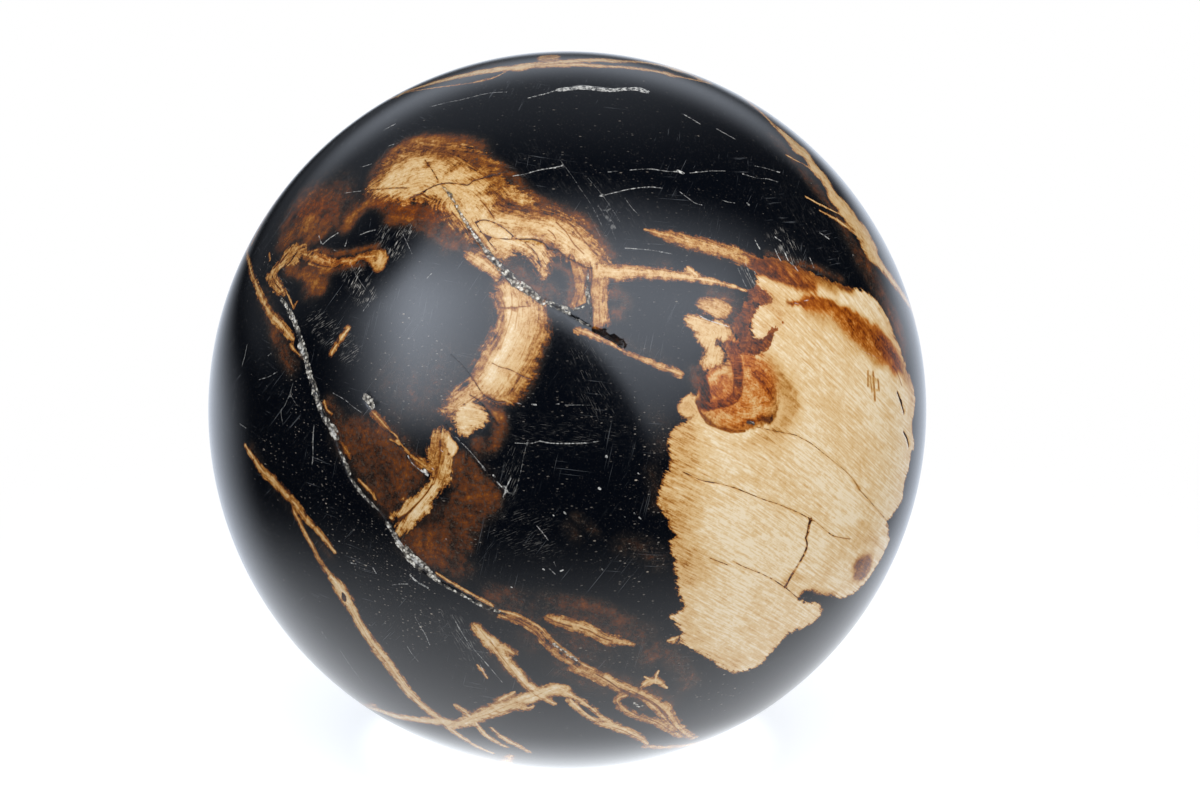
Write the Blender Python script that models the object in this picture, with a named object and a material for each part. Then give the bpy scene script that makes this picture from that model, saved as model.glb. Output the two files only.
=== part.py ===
"""A polished ball of petrified wood, standing on a small flat spot, with its open fissures and pits.

Metres, +Z up. The origin is the centre of the flat spot, on the surface that the ball stands on.
The front of the ball faces -Y. Its fissures are laid out as they are seen from the front, in the pixels
of one picture of the ball, and those at the back by bearing and height.
"""

import math

import bmesh
import bpy
from mathutils import Vector

# The ball and the spot ground flat under it
BALL_DIAMETER = 0.100
FLAT_SPOT_DIAMETER = 0.016

# How finely the ball is faceted: sides round its axis, and rings above and below its widest level
SIDES = 72
RINGS_ABOVE = 18
RINGS_BELOW = 17

# The picture: where the ball's centre is in it, how large the ball and the focal length are, and how far
# above the horizon it looks down from
BALL_CENTRE_PX = (567.3, 410.2)
BALL_RADIUS_PX = 359.0
FOCAL_LENGTH_PX = 2833.3
VIEW_ELEVATION = math.radians(15)

# The long fissure that runs down the left of the ball and along its foot
LONG_FISSURE_WIDTH = 0.0011
LONG_FISSURE_DEPTH = 0.0006
LONG_FISSURE_PX = [
    (276, 272), (286, 296), (294, 318), (302, 346), (309, 370), (316, 394), (323, 414), (333, 433),
    (341, 454), (349, 476), (364, 497), (381, 513), (394, 534), (404, 549), (416, 565), (430, 574),
    (452, 586), (478, 601), (500, 612),
]

# The fissure that crosses the upper veins, and the slot that it opens into
UPPER_FISSURE_WIDTH = 0.0008
UPPER_FISSURE_DEPTH = 0.0005
UPPER_FISSURE_PX = [
    (440, 184), (454, 203), (464, 221), (476, 238), (489, 255), (504, 271), (520, 286), (538, 298),
    (552, 306), (575, 319), (591, 328),
]
SLOT_WIDTH = 0.0006
SLOT_DEPTH = 0.0012
SLOT_PX = [(593, 330), (606, 336), (621, 345)]

# The small hollow between the two fissures
HOLLOW_LENGTH = 0.0021
HOLLOW_WIDTH = 0.0015
HOLLOW_DEPTH = 0.0005
HOLLOW_PX = (369, 401)
HOLLOW_END_PX = (374, 408)

# The fissure at the back, as (bearing, height above the ball's widest level) in degrees. A bearing of 0 is
# the front, and 90 the right-hand side
BACK_FISSURE_WIDTH = 0.0009
BACK_FISSURE_DEPTH = 0.0005
BACK_FISSURE_BEARINGS = [
    (128, 41), (137, 35), (143, 27), (152, 21), (158, 12), (169, 6), (176, -3), (188, -8), (195, -17),
    (206, -22), (213, -31),
]

# A cutter stands this far out of the ball, so that it cuts the surface cleanly
CUTTER_CLEARANCE = 0.001
# A groove's floor is this share of its width, and its ends narrow to this share of it
GROOVE_FLOOR_SHARE = 0.35
GROOVE_END_SHARE = 0.3
# The share of a groove's length over which each end narrows
GROOVE_TAPER_SHARE = 0.2

STONE_COLOUR = (0.012, 0.013, 0.016, 1.0)
STONE_ROUGHNESS = 0.22

BALL_RADIUS = BALL_DIAMETER / 2
FLAT_SPOT_RADIUS = FLAT_SPOT_DIAMETER / 2
BALL_CENTRE = Vector((0, 0, math.sqrt(BALL_RADIUS**2 - FLAT_SPOT_RADIUS**2)))


def clear_scene():
    for old in list(bpy.data.objects):
        bpy.data.objects.remove(old)


def stone_material():
    material = bpy.data.materials.new("polished petrified wood")
    material.use_nodes = True
    shader = material.node_tree.nodes["Principled BSDF"]
    shader.inputs["Base Color"].default_value = STONE_COLOUR
    shader.inputs["Roughness"].default_value = STONE_ROUGHNESS
    shader.inputs["Metallic"].default_value = 0.0
    return material


def seen_at(pixel):
    """The direction from the ball's centre to the point of its surface that the picture shows at this pixel."""
    eye_distance = 1 / math.sin(math.atan(BALL_RADIUS_PX / FOCAL_LENGTH_PX))
    across = (pixel[0] - BALL_CENTRE_PX[0]) / FOCAL_LENGTH_PX
    upward = (BALL_CENTRE_PX[1] - pixel[1]) / FOCAL_LENGTH_PX
    sight = Vector((across, upward, -1)).normalized()
    nearest = -eye_distance * sight.z
    inside = nearest**2 - eye_distance**2 + 1
    hit = Vector((0, 0, eye_distance)) + sight * (nearest - math.sqrt(max(inside, 0)))
    sine, cosine = math.sin(VIEW_ELEVATION), math.cos(VIEW_ELEVATION)
    return Vector((hit.x, hit.y * sine - hit.z * cosine, hit.y * cosine + hit.z * sine)).normalized()


def at_bearing(bearing, height):
    """The direction from the ball's centre at this bearing from the front and this height, in degrees."""
    turn, rise = math.radians(bearing), math.radians(height)
    return Vector((math.cos(rise) * math.sin(turn), -math.cos(rise) * math.cos(turn), math.sin(rise)))


def new_object(name, mesh_maker, material=None):
    """An object whose mesh is a bmesh, finished with its normals facing out."""
    bmesh.ops.recalc_face_normals(mesh_maker, faces=mesh_maker.faces)
    mesh = bpy.data.meshes.new(name)
    mesh_maker.to_mesh(mesh)
    mesh_maker.free()
    if material:
        mesh.materials.append(material)
    made = bpy.data.objects.new(name, mesh)
    bpy.context.scene.collection.objects.link(made)
    return made


def ball_profile():
    """Half the ball's outline in the XZ plane, from the middle of the flat spot up to the top."""
    flat_angle = -math.acos(FLAT_SPOT_RADIUS / BALL_RADIUS)
    below = [flat_angle * (1 - i / RINGS_BELOW) for i in range(RINGS_BELOW)]
    above = [math.pi / 2 * i / RINGS_ABOVE for i in range(RINGS_ABOVE)]
    arc = [
        BALL_CENTRE + BALL_RADIUS * Vector((math.cos(angle), 0, math.sin(angle))) for angle in below + above
    ]
    return [Vector((0, 0, 0)), *arc, BALL_CENTRE + Vector((0, 0, BALL_RADIUS))]


def make_ball(material):
    """The profile turned once round the ball's upright axis."""
    maker = bmesh.new()
    corners = [maker.verts.new(point) for point in ball_profile()]
    edges = [maker.edges.new(pair) for pair in zip(corners, corners[1:])]
    bmesh.ops.spin(
        maker,
        geom=corners + edges,
        cent=(0, 0, 0),
        axis=(0, 0, 1),
        angle=math.tau,
        steps=SIDES,
        use_merge=True,
    )
    bmesh.ops.remove_doubles(maker, verts=maker.verts, dist=BALL_DIAMETER * 1e-5)
    return new_object("sphere", maker, material)


def groove_section(direction, along, width, depth):
    """Four corners of a groove's cutter where it passes this direction: two outside the ball, two at its floor."""
    sideways = direction.cross(along).normalized()
    floor_radius = BALL_RADIUS - depth
    outer_radius = BALL_RADIUS + CUTTER_CLEARANCE
    wall_slope = width * (1 - GROOVE_FLOOR_SHARE) / 2 / depth
    floor_half = width * GROOVE_FLOOR_SHARE / 2
    outer_half = floor_half + wall_slope * (outer_radius - floor_radius)
    return [
        BALL_CENTRE + direction * radius + sideways * offset
        for radius, offset in (
            (outer_radius, -outer_half),
            (outer_radius, outer_half),
            (floor_radius, floor_half),
            (floor_radius, -floor_half),
        )
    ]


def groove_cutter(name, route, width, depth):
    """A wedge that follows the route over the ball, narrower and shallower towards its two ends."""
    maker = bmesh.new()
    rings = []
    for i, direction in enumerate(route):
        along = route[min(i + 1, len(route) - 1)] - route[max(i - 1, 0)]
        share = i / (len(route) - 1)
        narrowing = min(1, GROOVE_END_SHARE + min(share, 1 - share) / GROOVE_TAPER_SHARE)
        corners = groove_section(direction, along, width * narrowing, depth * narrowing)
        rings.append([maker.verts.new(corner) for corner in corners])
    for near, far in zip(rings, rings[1:]):
        for i in range(4):
            j = (i + 1) % 4
            maker.faces.new((near[i], near[j], far[j], far[i]))
    maker.faces.new(rings[0])
    maker.faces.new(rings[-1])
    return new_object(name, maker)


def hollow_cutter(name):
    """A flattened ball, sunk into the surface by the hollow's depth and turned along it."""
    direction = seen_at(HOLLOW_PX)
    lengthwise = seen_at(HOLLOW_END_PX) - direction
    lengthwise = (lengthwise - direction * lengthwise.dot(direction)).normalized()
    sideways = direction.cross(lengthwise)
    maker = bmesh.new()
    bmesh.ops.create_icosphere(maker, subdivisions=2, radius=1)
    for corner in maker.verts:
        x, y, z = corner.co
        corner.co = (
            BALL_CENTRE
            + direction * (BALL_RADIUS + z * HOLLOW_DEPTH)
            + lengthwise * (x * HOLLOW_LENGTH / 2)
            + sideways * (y * HOLLOW_WIDTH / 2)
        )
    return new_object(name, maker)


def cut(ball, cutter):
    cutter.hide_render = True
    cutter.display_type = "WIRE"
    difference = ball.modifiers.new(cutter.name, "BOOLEAN")
    difference.operation = "DIFFERENCE"
    difference.solver = "EXACT"
    difference.object = cutter


def build():
    clear_scene()
    ball = make_ball(stone_material())
    back_route = [at_bearing(*place) for place in BACK_FISSURE_BEARINGS]
    grooves = [
        ("long fissure", [seen_at(p) for p in LONG_FISSURE_PX], LONG_FISSURE_WIDTH, LONG_FISSURE_DEPTH),
        ("upper fissure", [seen_at(p) for p in UPPER_FISSURE_PX], UPPER_FISSURE_WIDTH, UPPER_FISSURE_DEPTH),
        ("slot", [seen_at(p) for p in SLOT_PX], SLOT_WIDTH, SLOT_DEPTH),
        ("back fissure", back_route, BACK_FISSURE_WIDTH, BACK_FISSURE_DEPTH),
    ]
    for name, route, width, depth in grooves:
        cut(ball, groove_cutter(name, route, width, depth))
    cut(ball, hollow_cutter("hollow"))
    ball.data.shade_smooth()
    ball.data.set_sharp_from_angle(angle=math.radians(30))


build()
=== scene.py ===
"""The look of a polished ball of petrified wood: its veins, stains, fissures and gloss, and a plain studio.

The pattern on the front is laid out as lines and outlines in the pixels of one 1200 x 804 picture
of the ball, which seen_at turns into places on it. The rest is laid out by bearing and height in degrees.
"""

import math

import bpy
import numpy as np
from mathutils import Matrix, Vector, kdtree
from mathutils.geometry import delaunay_2d_cdt


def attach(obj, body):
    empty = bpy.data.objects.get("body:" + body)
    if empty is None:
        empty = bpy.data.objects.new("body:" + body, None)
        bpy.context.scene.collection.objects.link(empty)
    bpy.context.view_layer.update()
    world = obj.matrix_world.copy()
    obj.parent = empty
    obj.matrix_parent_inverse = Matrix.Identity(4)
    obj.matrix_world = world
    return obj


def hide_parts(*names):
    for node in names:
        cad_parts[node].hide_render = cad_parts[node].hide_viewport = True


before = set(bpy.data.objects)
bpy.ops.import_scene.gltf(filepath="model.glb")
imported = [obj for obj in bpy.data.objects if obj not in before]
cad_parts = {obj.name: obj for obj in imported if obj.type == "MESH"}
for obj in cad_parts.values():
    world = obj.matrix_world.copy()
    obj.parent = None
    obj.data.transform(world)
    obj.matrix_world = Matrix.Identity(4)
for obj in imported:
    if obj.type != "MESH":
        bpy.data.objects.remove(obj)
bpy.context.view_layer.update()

# The ball, as part.py makes it, in metres
BALL_RADIUS = 0.050
FLAT_SPOT_RADIUS = 0.008
BALL_CENTRE = np.array([0, 0, math.sqrt(BALL_RADIUS**2 - FLAT_SPOT_RADIUS**2)])
RADIUS_MM = BALL_RADIUS * 1000

# The picture: where the ball's centre is in it, how large the ball and the focal length are, and how far
# above the horizon it looks down from
PICTURE_SIZE_PX = (1200, 804)
BALL_CENTRE_PX = (567.3, 410.2)
BALL_RADIUS_PX = 359.0
FOCAL_LENGTH_PX = 2833.3
VIEW_ELEVATION = math.radians(15)
EYE_DISTANCE = 1 / math.sin(math.atan(BALL_RADIUS_PX / FOCAL_LENGTH_PX))
SENSOR_WIDTH_MM = 36.0

CAMERA_RIGHT = np.array([1.0, 0, 0])
CAMERA_UP = np.array([0, math.sin(VIEW_ELEVATION), math.cos(VIEW_ELEVATION)])
CAMERA_BACK = np.array([0, -math.cos(VIEW_ELEVATION), math.sin(VIEW_ELEVATION)])

# Shades of the pale wood, from the lightest cream to dark brown, as places on one ramp
LIGHT, CREAM, STRAW, TAN, HONEY = 0.04, 0.15, 0.30, 0.42, 0.52
AMBER, ORANGE, RUST, BROWN, UMBER, BLACK = 0.62, 0.72, 0.82, 0.92, 1.0, 1.2

# Routes that two kinds of marks follow, in pixels or, for the far ones, by bearing and height in degrees
OPEN_CRACK = [898, 393, 901, 402, 904, 412]
OPEN_CRACK_BELOW = [904, 432, 907, 438, 909, 446]
FAR_FISSURE = [
    128, 41, 137, 35, 143, 27, 152, 21, 158, 12, 169, 6, 176, -3, 188, -8, 195, -17, 206, -22, 213, -31,
]
FAR_PATCH_EDGE = [150, 24, 158, 12, 162, 0, 157, -13]
FAR_SMALL_PATCH_EDGE = [196, 56, 208, 65, 230, 66, 243, 58]

# Pale wood with an outline: (shade, how ragged its edge is in mm, how wide its brown fringe is in mm,
# how busy its figure is, the outline's pixels)
PALE_PATCHES = [
    (0.11, 0.35, 0.28, 0.25, [
        757, 260, 775, 258, 785, 263, 800, 267, 812, 273, 825, 279, 840, 285, 850, 288, 858, 290, 868, 294,
        877, 302, 884, 312, 889, 322, 894, 334, 900, 348, 904, 362, 909, 374, 913, 386, 915, 400, 914, 412,
        912, 422, 913, 434, 914, 446, 911, 452, 910, 460, 908, 470, 905, 480, 903, 492, 902, 500, 897, 508,
        892, 515, 887, 522, 888, 530, 889, 540, 885, 550, 880, 560, 875, 568, 870, 576, 862, 586, 852, 594,
        843, 598, 830, 595, 818, 592, 808, 590, 802, 594, 799, 600, 808, 603, 818, 605, 822, 610, 818, 618,
        810, 624, 800, 628, 790, 633, 782, 640, 775, 648, 768, 655, 762, 663, 752, 668, 740, 672, 728, 671,
        718, 665, 708, 658, 700, 652, 690, 648, 682, 642, 681, 632, 674, 622, 670, 616, 678, 613, 684, 608,
        681, 598, 678, 590, 677, 580, 676, 570, 675, 560, 671, 550, 670, 543, 675, 537, 672, 530, 668, 520,
        663, 512, 658, 500, 660, 490, 663, 478, 668, 470, 670, 458, 670, 445, 668, 436, 672, 430, 680, 425,
        687, 420, 695, 412, 700, 402, 705, 394, 707, 380, 714, 372, 724, 367, 738, 356, 751, 345, 752, 330,
        752, 318, 757, 308, 765, 300, 760, 290, 757, 278, 756, 268,
    ]),
    (0.36, 0.3, 0.4, 0.5, [
        685, 318, 692, 315, 700, 318, 712, 321, 722, 322, 728, 325, 733, 335, 737, 343, 728, 342, 720, 340,
        717, 345, 722, 350, 723, 360, 718, 368, 708, 368, 702, 372, 700, 368, 703, 358, 705, 350, 700, 343,
        695, 335, 690, 328,
    ]),
    (0.44, 0.2, 0.6, 0.5, [698, 304, 706, 299, 716, 299, 725, 302, 730, 308, 727, 315, 718, 317, 708, 312]),
    (STRAW, 0.25, 0.3, 0.4, [
        678, 408, 682, 400, 688, 394, 693, 395, 697, 402, 700, 412, 692, 418, 684, 416,
    ]),
    (0.53, 0.28, 0.5, 0.25, [
        704, 380, 712, 370, 722, 365, 736, 357, 750, 354, 760, 360, 768, 370, 775, 383, 779, 396, 779, 408,
        775, 417, 768, 424, 760, 427, 750, 430, 740, 432, 730, 431, 720, 428, 710, 424, 703, 418, 698, 408,
        699, 394,
    ]),
    (0.28, 0.45, 1.25, 0.5, [
        500, 284, 498, 300, 501, 312, 500, 325, 493, 340, 487, 350, 478, 365, 475, 375, 468, 386,
        458, 394, 449, 401, 446, 410, 450, 414, 457, 410, 464, 402, 475, 400, 482, 398,
        487, 396, 495, 400, 505, 400, 515, 397, 522, 388, 529, 375, 534, 360, 539, 345, 543, 335, 543, 320,
        539, 305, 530, 298, 520, 288, 510, 283,
    ]),
    (STRAW, 0.35, 0.4, 0.7, [
        455, 415, 460, 408, 468, 402, 475, 402, 482, 408, 487, 415, 488, 420, 480, 425, 472, 430, 466, 436,
        460, 432, 455, 425,
    ]),
    (STRAW, 0.2, 0.5, 0.5, [
        465, 252, 475, 254, 490, 262, 500, 272, 497, 280, 488, 272, 475, 265, 467, 258,
    ]),
    (TAN, 0.35, 0.4, 0.8, [
        436, 432, 444, 430, 450, 435, 449, 450, 450, 465, 450, 478, 445, 485, 440, 490, 432, 500, 428, 510,
        418, 518, 408, 530, 400, 538, 396, 533, 398, 528, 405, 518, 397, 516, 390, 518, 396, 512, 403, 505,
        412, 497, 420, 492, 430, 483, 432, 475, 430, 465, 428, 455, 430, 445,
    ]),
    (CREAM, 0.08, 0.2, 0.4, [447, 438, 452, 439, 458, 448, 452, 456, 447, 450]),
    (0.33, 0.6, 1.15, 0.85, [
        370, 192, 372, 183, 378, 172, 385, 163, 395, 155, 405, 148, 415, 145, 432, 143, 450, 146, 463, 148,
        478, 152, 490, 162, 498, 172, 505, 180, 515, 188, 525, 197, 540, 208, 555, 213, 570, 219, 582, 228,
        590, 238, 598, 249, 606, 259, 610, 266, 604, 269, 596, 270, 586, 268, 578, 263, 568, 258, 560, 254,
        552, 250, 548, 258, 549, 265, 545, 273, 541, 274, 537, 266, 531, 256, 521, 249, 510, 253, 500, 258,
        492, 256, 484, 252, 475, 243, 465, 232, 455, 222, 445, 214, 437, 207, 430, 202, 420, 199, 400, 201,
        385, 198,
    ]),
    (HONEY, 0.2, 0.5, 0.6, [
        590, 265, 600, 268, 608, 272, 607, 285, 606, 300, 607, 315, 610, 322, 600, 326, 593, 328, 591, 315,
        590, 300, 590, 285,
    ]),
    (AMBER, 0.2, 0.5, 0.6, [
        572, 262, 585, 268, 586, 280, 584, 295, 585, 305, 575, 308, 570, 305, 575, 295, 576, 280,
    ]),
    (0.56, 0.30, 0.35, 1.0, [
        304, 245, 298, 244, 291, 246, 285, 250, 282, 257, 277, 263, 272, 270, 266, 276, 268, 281,
        272, 287, 277, 293, 281, 296, 285, 295, 286, 291, 282, 286, 279, 279, 278, 272, 283, 266,
        289, 263, 295, 265, 298, 261, 303, 255, 306, 249,
    ]),
    (0.40, 0.15, 0.55, 0.5, [
        368, 254, 378, 252, 384, 252, 386, 256, 385, 262, 383, 268, 378, 270, 374, 267, 371, 261,
    ]),
    (HONEY, 0.2, 0.3, 0.4, [538, 58, 544, 55.5, 556, 55, 560, 58, 556, 61, 550, 63, 544, 62, 539, 61]),
]

# The lines that the wood's fibres follow in the outlined parts
GRAIN_LINES = [
    [372, 196, 400, 180, 430, 172, 455, 184, 478, 200, 495, 215, 520, 222, 548, 228, 575, 245, 605, 268],
    [455, 205, 475, 230, 490, 250],
    [495, 238, 515, 245, 530, 252, 545, 270],
    [508, 276, 518, 300, 520, 320, 513, 340, 500, 362, 485, 385, 465, 400, 450, 412],
    [445, 408, 462, 410, 480, 412, 500, 420],
    [465, 252, 482, 263, 500, 276],
    [442, 430, 440, 460, 432, 485, 415, 508, 398, 536],
    [598, 262, 600, 290, 600, 328],
    [575, 258, 582, 285, 576, 310],
    [304, 248, 286, 258, 272, 278, 284, 294],
    [686, 316, 718, 328, 716, 345, 710, 366],
    [704, 378, 720, 398, 745, 412, 775, 405],
    [725, 364, 755, 368, 775, 390, 772, 420],
]

# Pale wood that runs as a line: (half-widths along it in px, shade in its middle, shade at its edge,
# pixels)
PALE_VEINS = [
    # The rim at the left, and the streak and lobe inside it
    ((1.4, 2.1, 2.6, 3.2, 4.4, 4.2, 2), 0.38, 0.66, [
        240, 235, 247, 252, 249, 262, 251, 272, 255, 282, 259, 292, 263, 300, 267, 308, 272, 316, 279, 323,
        285, 330, 290, 336, 293, 339,
    ]),
    ((1.5,), HONEY, RUST, [290, 345, 296, 352, 303, 358]),
    ((1.2,), AMBER, RUST, [269, 253, 270, 260]),
    ((3, 5, 5.5, 4, 2.2, 4, 2.6, 3.5, 5), 0.50, 0.76, [
        302, 254, 310, 256, 318, 259, 327, 262, 336, 263, 343, 261, 352, 261, 360, 257, 368, 257, 376, 256,
    ]),
    ((1, 1.5, 0.6), 0.64, RUST, [308, 264, 318, 267, 330, 268, 338, 265]),
    ((1.2, 2), 0.56, BROWN, [308, 256, 312, 252, 317, 250]),
    ((1,), 0.50, BROWN, [286, 292, 290, 300, 293, 307]),
    ((0.8,), 0.55, BROWN, [294, 308, 297, 302]),
    ((0.8, 1.4), 0.52, RUST, [273, 268, 279, 262, 285, 255, 290, 249]),
    ((2.2, 2.6), CREAM, 0.66, [348, 329, 342, 337]),
    ((2.4, 1.6), STRAW, 0.66, [336, 345, 333, 350, 331, 355]),
    ((1.5,), TAN, BROWN, [324, 402, 327, 410, 332, 414]),
    ((1.3,), TAN, RUST, [359, 480, 366, 487, 372, 494, 375, 499]),
    ((3, 3.5, 1.5), 0.56, BROWN, [373, 413, 378, 418, 384, 425, 390, 431]),
    ((0.8, 0.7, 1, 3, 4), 0.52, RUST, [
        390, 431, 396, 436, 400, 443, 405, 449, 411, 456, 418, 461, 425, 466, 432, 469,
    ]),
    ((1,), 0.5, RUST, [390, 440, 395, 442, 399, 445]),
    ((1.5,), 0.66, BROWN, [341, 443, 346, 450, 350, 458]),
    # The lower left
    ((1.5, 2.6, 4.4, 3.4, 2.8, 2.4, 2.2, 1.2), 0.36, 0.62, [
        245, 445, 253, 458, 263, 472, 273, 480, 285, 494, 295, 504, 305, 518, 317, 530, 325, 540, 335, 552,
    ]),
    ((1.3, 1.8), 0.38, 0.62, [293, 510, 301, 526, 311, 544, 319, 560, 329, 574]),
    ((2.5, 5.5, 5, 4, 4.5, 5, 5, 4.5, 4, 4), 0.14, 0.40, [
        331, 577, 339, 587, 346, 599, 353, 611, 361, 626, 373, 644, 385, 660, 397, 676, 409, 692, 425, 708,
        440, 719,
    ]),
    ((4, 2.8, 2.6, 1.5), 0.22, STRAW, [440, 721, 450, 729, 464, 739, 476, 746, 492, 753]),
    # The foot of the ball
    ((1.8, 1.8, 2, 2.2), TAN, 0.66, [
        500, 611, 515, 615, 528, 621, 540, 628, 548, 637, 556, 645, 568, 653, 580, 663, 590, 668, 600, 673,
    ]),
    ((1.8, 2, 2.2, 2.5), 0.50, 0.70, [
        500, 616, 515, 621, 528, 627, 537, 635, 547, 647, 557, 655, 570, 663, 580, 671, 592, 677, 604, 684,
    ]),
    ((4, 4.5, 5, 4, 3), 0.48, 0.66, [574, 669, 586, 672, 598, 677, 610, 684, 620, 690]),
    ((3.5, 4.5, 5.5, 5.5, 5, 4), 0.38, 0.56, [
        606, 677, 618, 684, 630, 690, 642, 695, 654, 701, 664, 708, 671, 718, 680, 729, 694, 738,
    ]),
    ((2, 3, 3.5, 4, 4, 3), 0.42, 0.60, [
        626, 695, 617, 699, 620, 706, 630, 713, 642, 718, 655, 722, 668, 729, 682, 737,
    ]),
    ((2.5, 3), 0.42, 0.56, [648, 702, 656, 710, 664, 718, 672, 727]),
    ((3.5, 5, 5, 5.5, 5, 4, 1.5), 0.42, 0.58, [
        549, 618, 557, 620.5, 573, 625.5, 582, 627, 592, 632, 607, 639.5, 622, 642, 634, 645,
    ]),
    ((3.5, 5.5, 7, 5.5, 5, 5, 5, 4.5, 1.5), 0.12, 0.40, [
        476, 627, 483, 635, 492, 643, 499, 652, 507, 662, 517, 673, 528, 685, 540, 695, 555, 704,
    ]),
    ((4, 3), STRAW, 0.46, [500, 648, 507, 650, 512, 653]),
    ((3.5, 4.5, 5, 5.5, 7, 8, 7.5, 6.5, 5.5), 0.16, 0.38, [
        362, 704, 380, 711, 400, 717, 420, 720, 440, 722, 457, 724, 473, 719, 490, 712, 507, 706, 523, 700,
        540, 694, 553, 689, 562, 690,
    ]),
    ((3, 4, 2), 0.26, 0.42, [448, 728, 462, 722, 476, 716]),
    ((4, 1), 0.26, 0.42, [500, 700, 510, 695, 515, 692]),
    ((4, 1), 0.26, 0.42, [520, 706, 528, 708, 534, 706]),
    ((2.5, 3, 2), 0.26, 0.42, [458, 707, 466, 713, 472, 719]),
    ((4.5, 3, 2.5, 3, 4), 0.26, 0.44, [562, 691, 572, 696, 582, 702, 592, 709, 601, 717, 610, 723]),
    ((3, 3, 3, 4), 0.26, 0.44, [570, 700, 578, 708, 588, 716, 598, 722, 610, 726]),
    ((5, 5, 5, 4.5, 1), 0.28, 0.44, [607, 723, 616, 727, 626, 731, 638, 737, 648, 744]),
    ((2, 2.4, 1.5), 0.26, 0.42, [475, 722, 481, 730, 488, 737, 498, 743, 507, 747]),
    ((1.5, 3, 2), 0.24, 0.40, [491, 728, 498, 734, 508, 741, 518, 746, 529, 752]),
    ((1, 3.5, 4, 1), 0.24, 0.44, [641, 687, 648, 682, 656, 681, 667, 688]),
    ((1, 3, 1), 0.24, 0.44, [644, 677, 650, 680, 658, 684]),
    ((1, 3, 1), 0.24, 0.44, [658, 671, 655, 679, 656, 684]),
    ((1, 3, 1), 0.26, 0.50, [668, 641, 673, 640, 678, 637]),
    ((1, 2, 1), 0.42, 0.62, [477, 665, 482, 671, 487, 678]),
    ((1.3, 1.4), 0.34, 0.60, [436, 573, 450, 582, 462, 589, 473, 595, 484, 601, 493, 606]),
    # The middle and the right
    ((7.5, 7, 6, 5.5, 4.5, 3, 2.4, 1.8, 1.3), 0.30, 0.58, [
        600, 271, 615, 272, 632, 272, 648, 273, 664, 274, 682, 276.5, 700, 279, 716, 282, 732, 286,
        746, 291,
    ]),
    ((2,), STRAW, TAN, [688, 268, 697, 276]),
    ((3, 1.6, 2, 3.2), 0.48, 0.66, [
        578, 330, 590, 334, 600, 339, 612, 344, 620, 350, 630, 354, 640, 358, 652, 363, 665, 368, 680, 374,
    ]),
    ((1.2, 3, 6, 7, 6, 6.5, 6.5), 0.50, 0.70, [
        645, 230, 657, 233, 672, 237, 688, 242, 704, 245, 720, 250, 736, 255, 752, 262,
    ]),
    ((3.5, 6, 5.5, 7, 6, 5, 4), 0.26, 0.50, [
        778, 128, 783, 133, 795, 145, 806, 156, 815, 168, 825, 181, 834, 196, 843, 207, 853, 220, 862, 232,
        869, 245, 876, 258, 883, 268, 890, 277, 898, 288, 906, 300, 911, 308, 918, 320,
    ]),
    ((1, 2.4), STRAW, 0.52, [820, 211, 828, 215, 838, 221, 848, 228, 856, 234, 862, 239]),
    ((0.8,), STRAW, TAN, [806, 197, 815, 202, 825, 207, 835, 212, 845, 217, 850, 221]),
    ((0.7,), TAN, AMBER, [786, 155, 795, 160, 803, 164, 809, 168]),
    # The rim at the top
    ((1.5, 3, 3.4, 3.4, 3.4, 3, 2), 0.34, 0.56, [
        386, 100, 395, 97, 405, 92, 420, 87, 440, 81, 460, 76, 480, 72, 500, 69, 520, 67, 540, 64, 560, 62,
        580, 60.5, 600, 60, 620, 61, 640, 62, 660, 65, 675, 69, 690, 74, 700, 79, 710, 82,
    ]),
    ((1.8,), TAN, AMBER, [
        540, 66, 560, 65, 580, 65, 600, 66, 620, 67, 640, 69, 660, 72, 680, 77, 700, 81, 712, 84,
    ]),
    ((0.8,), HONEY, RUST, [505, 72, 495, 77, 485, 80, 470, 83, 455, 85, 440, 87, 420, 90, 405, 93]),
]

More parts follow.
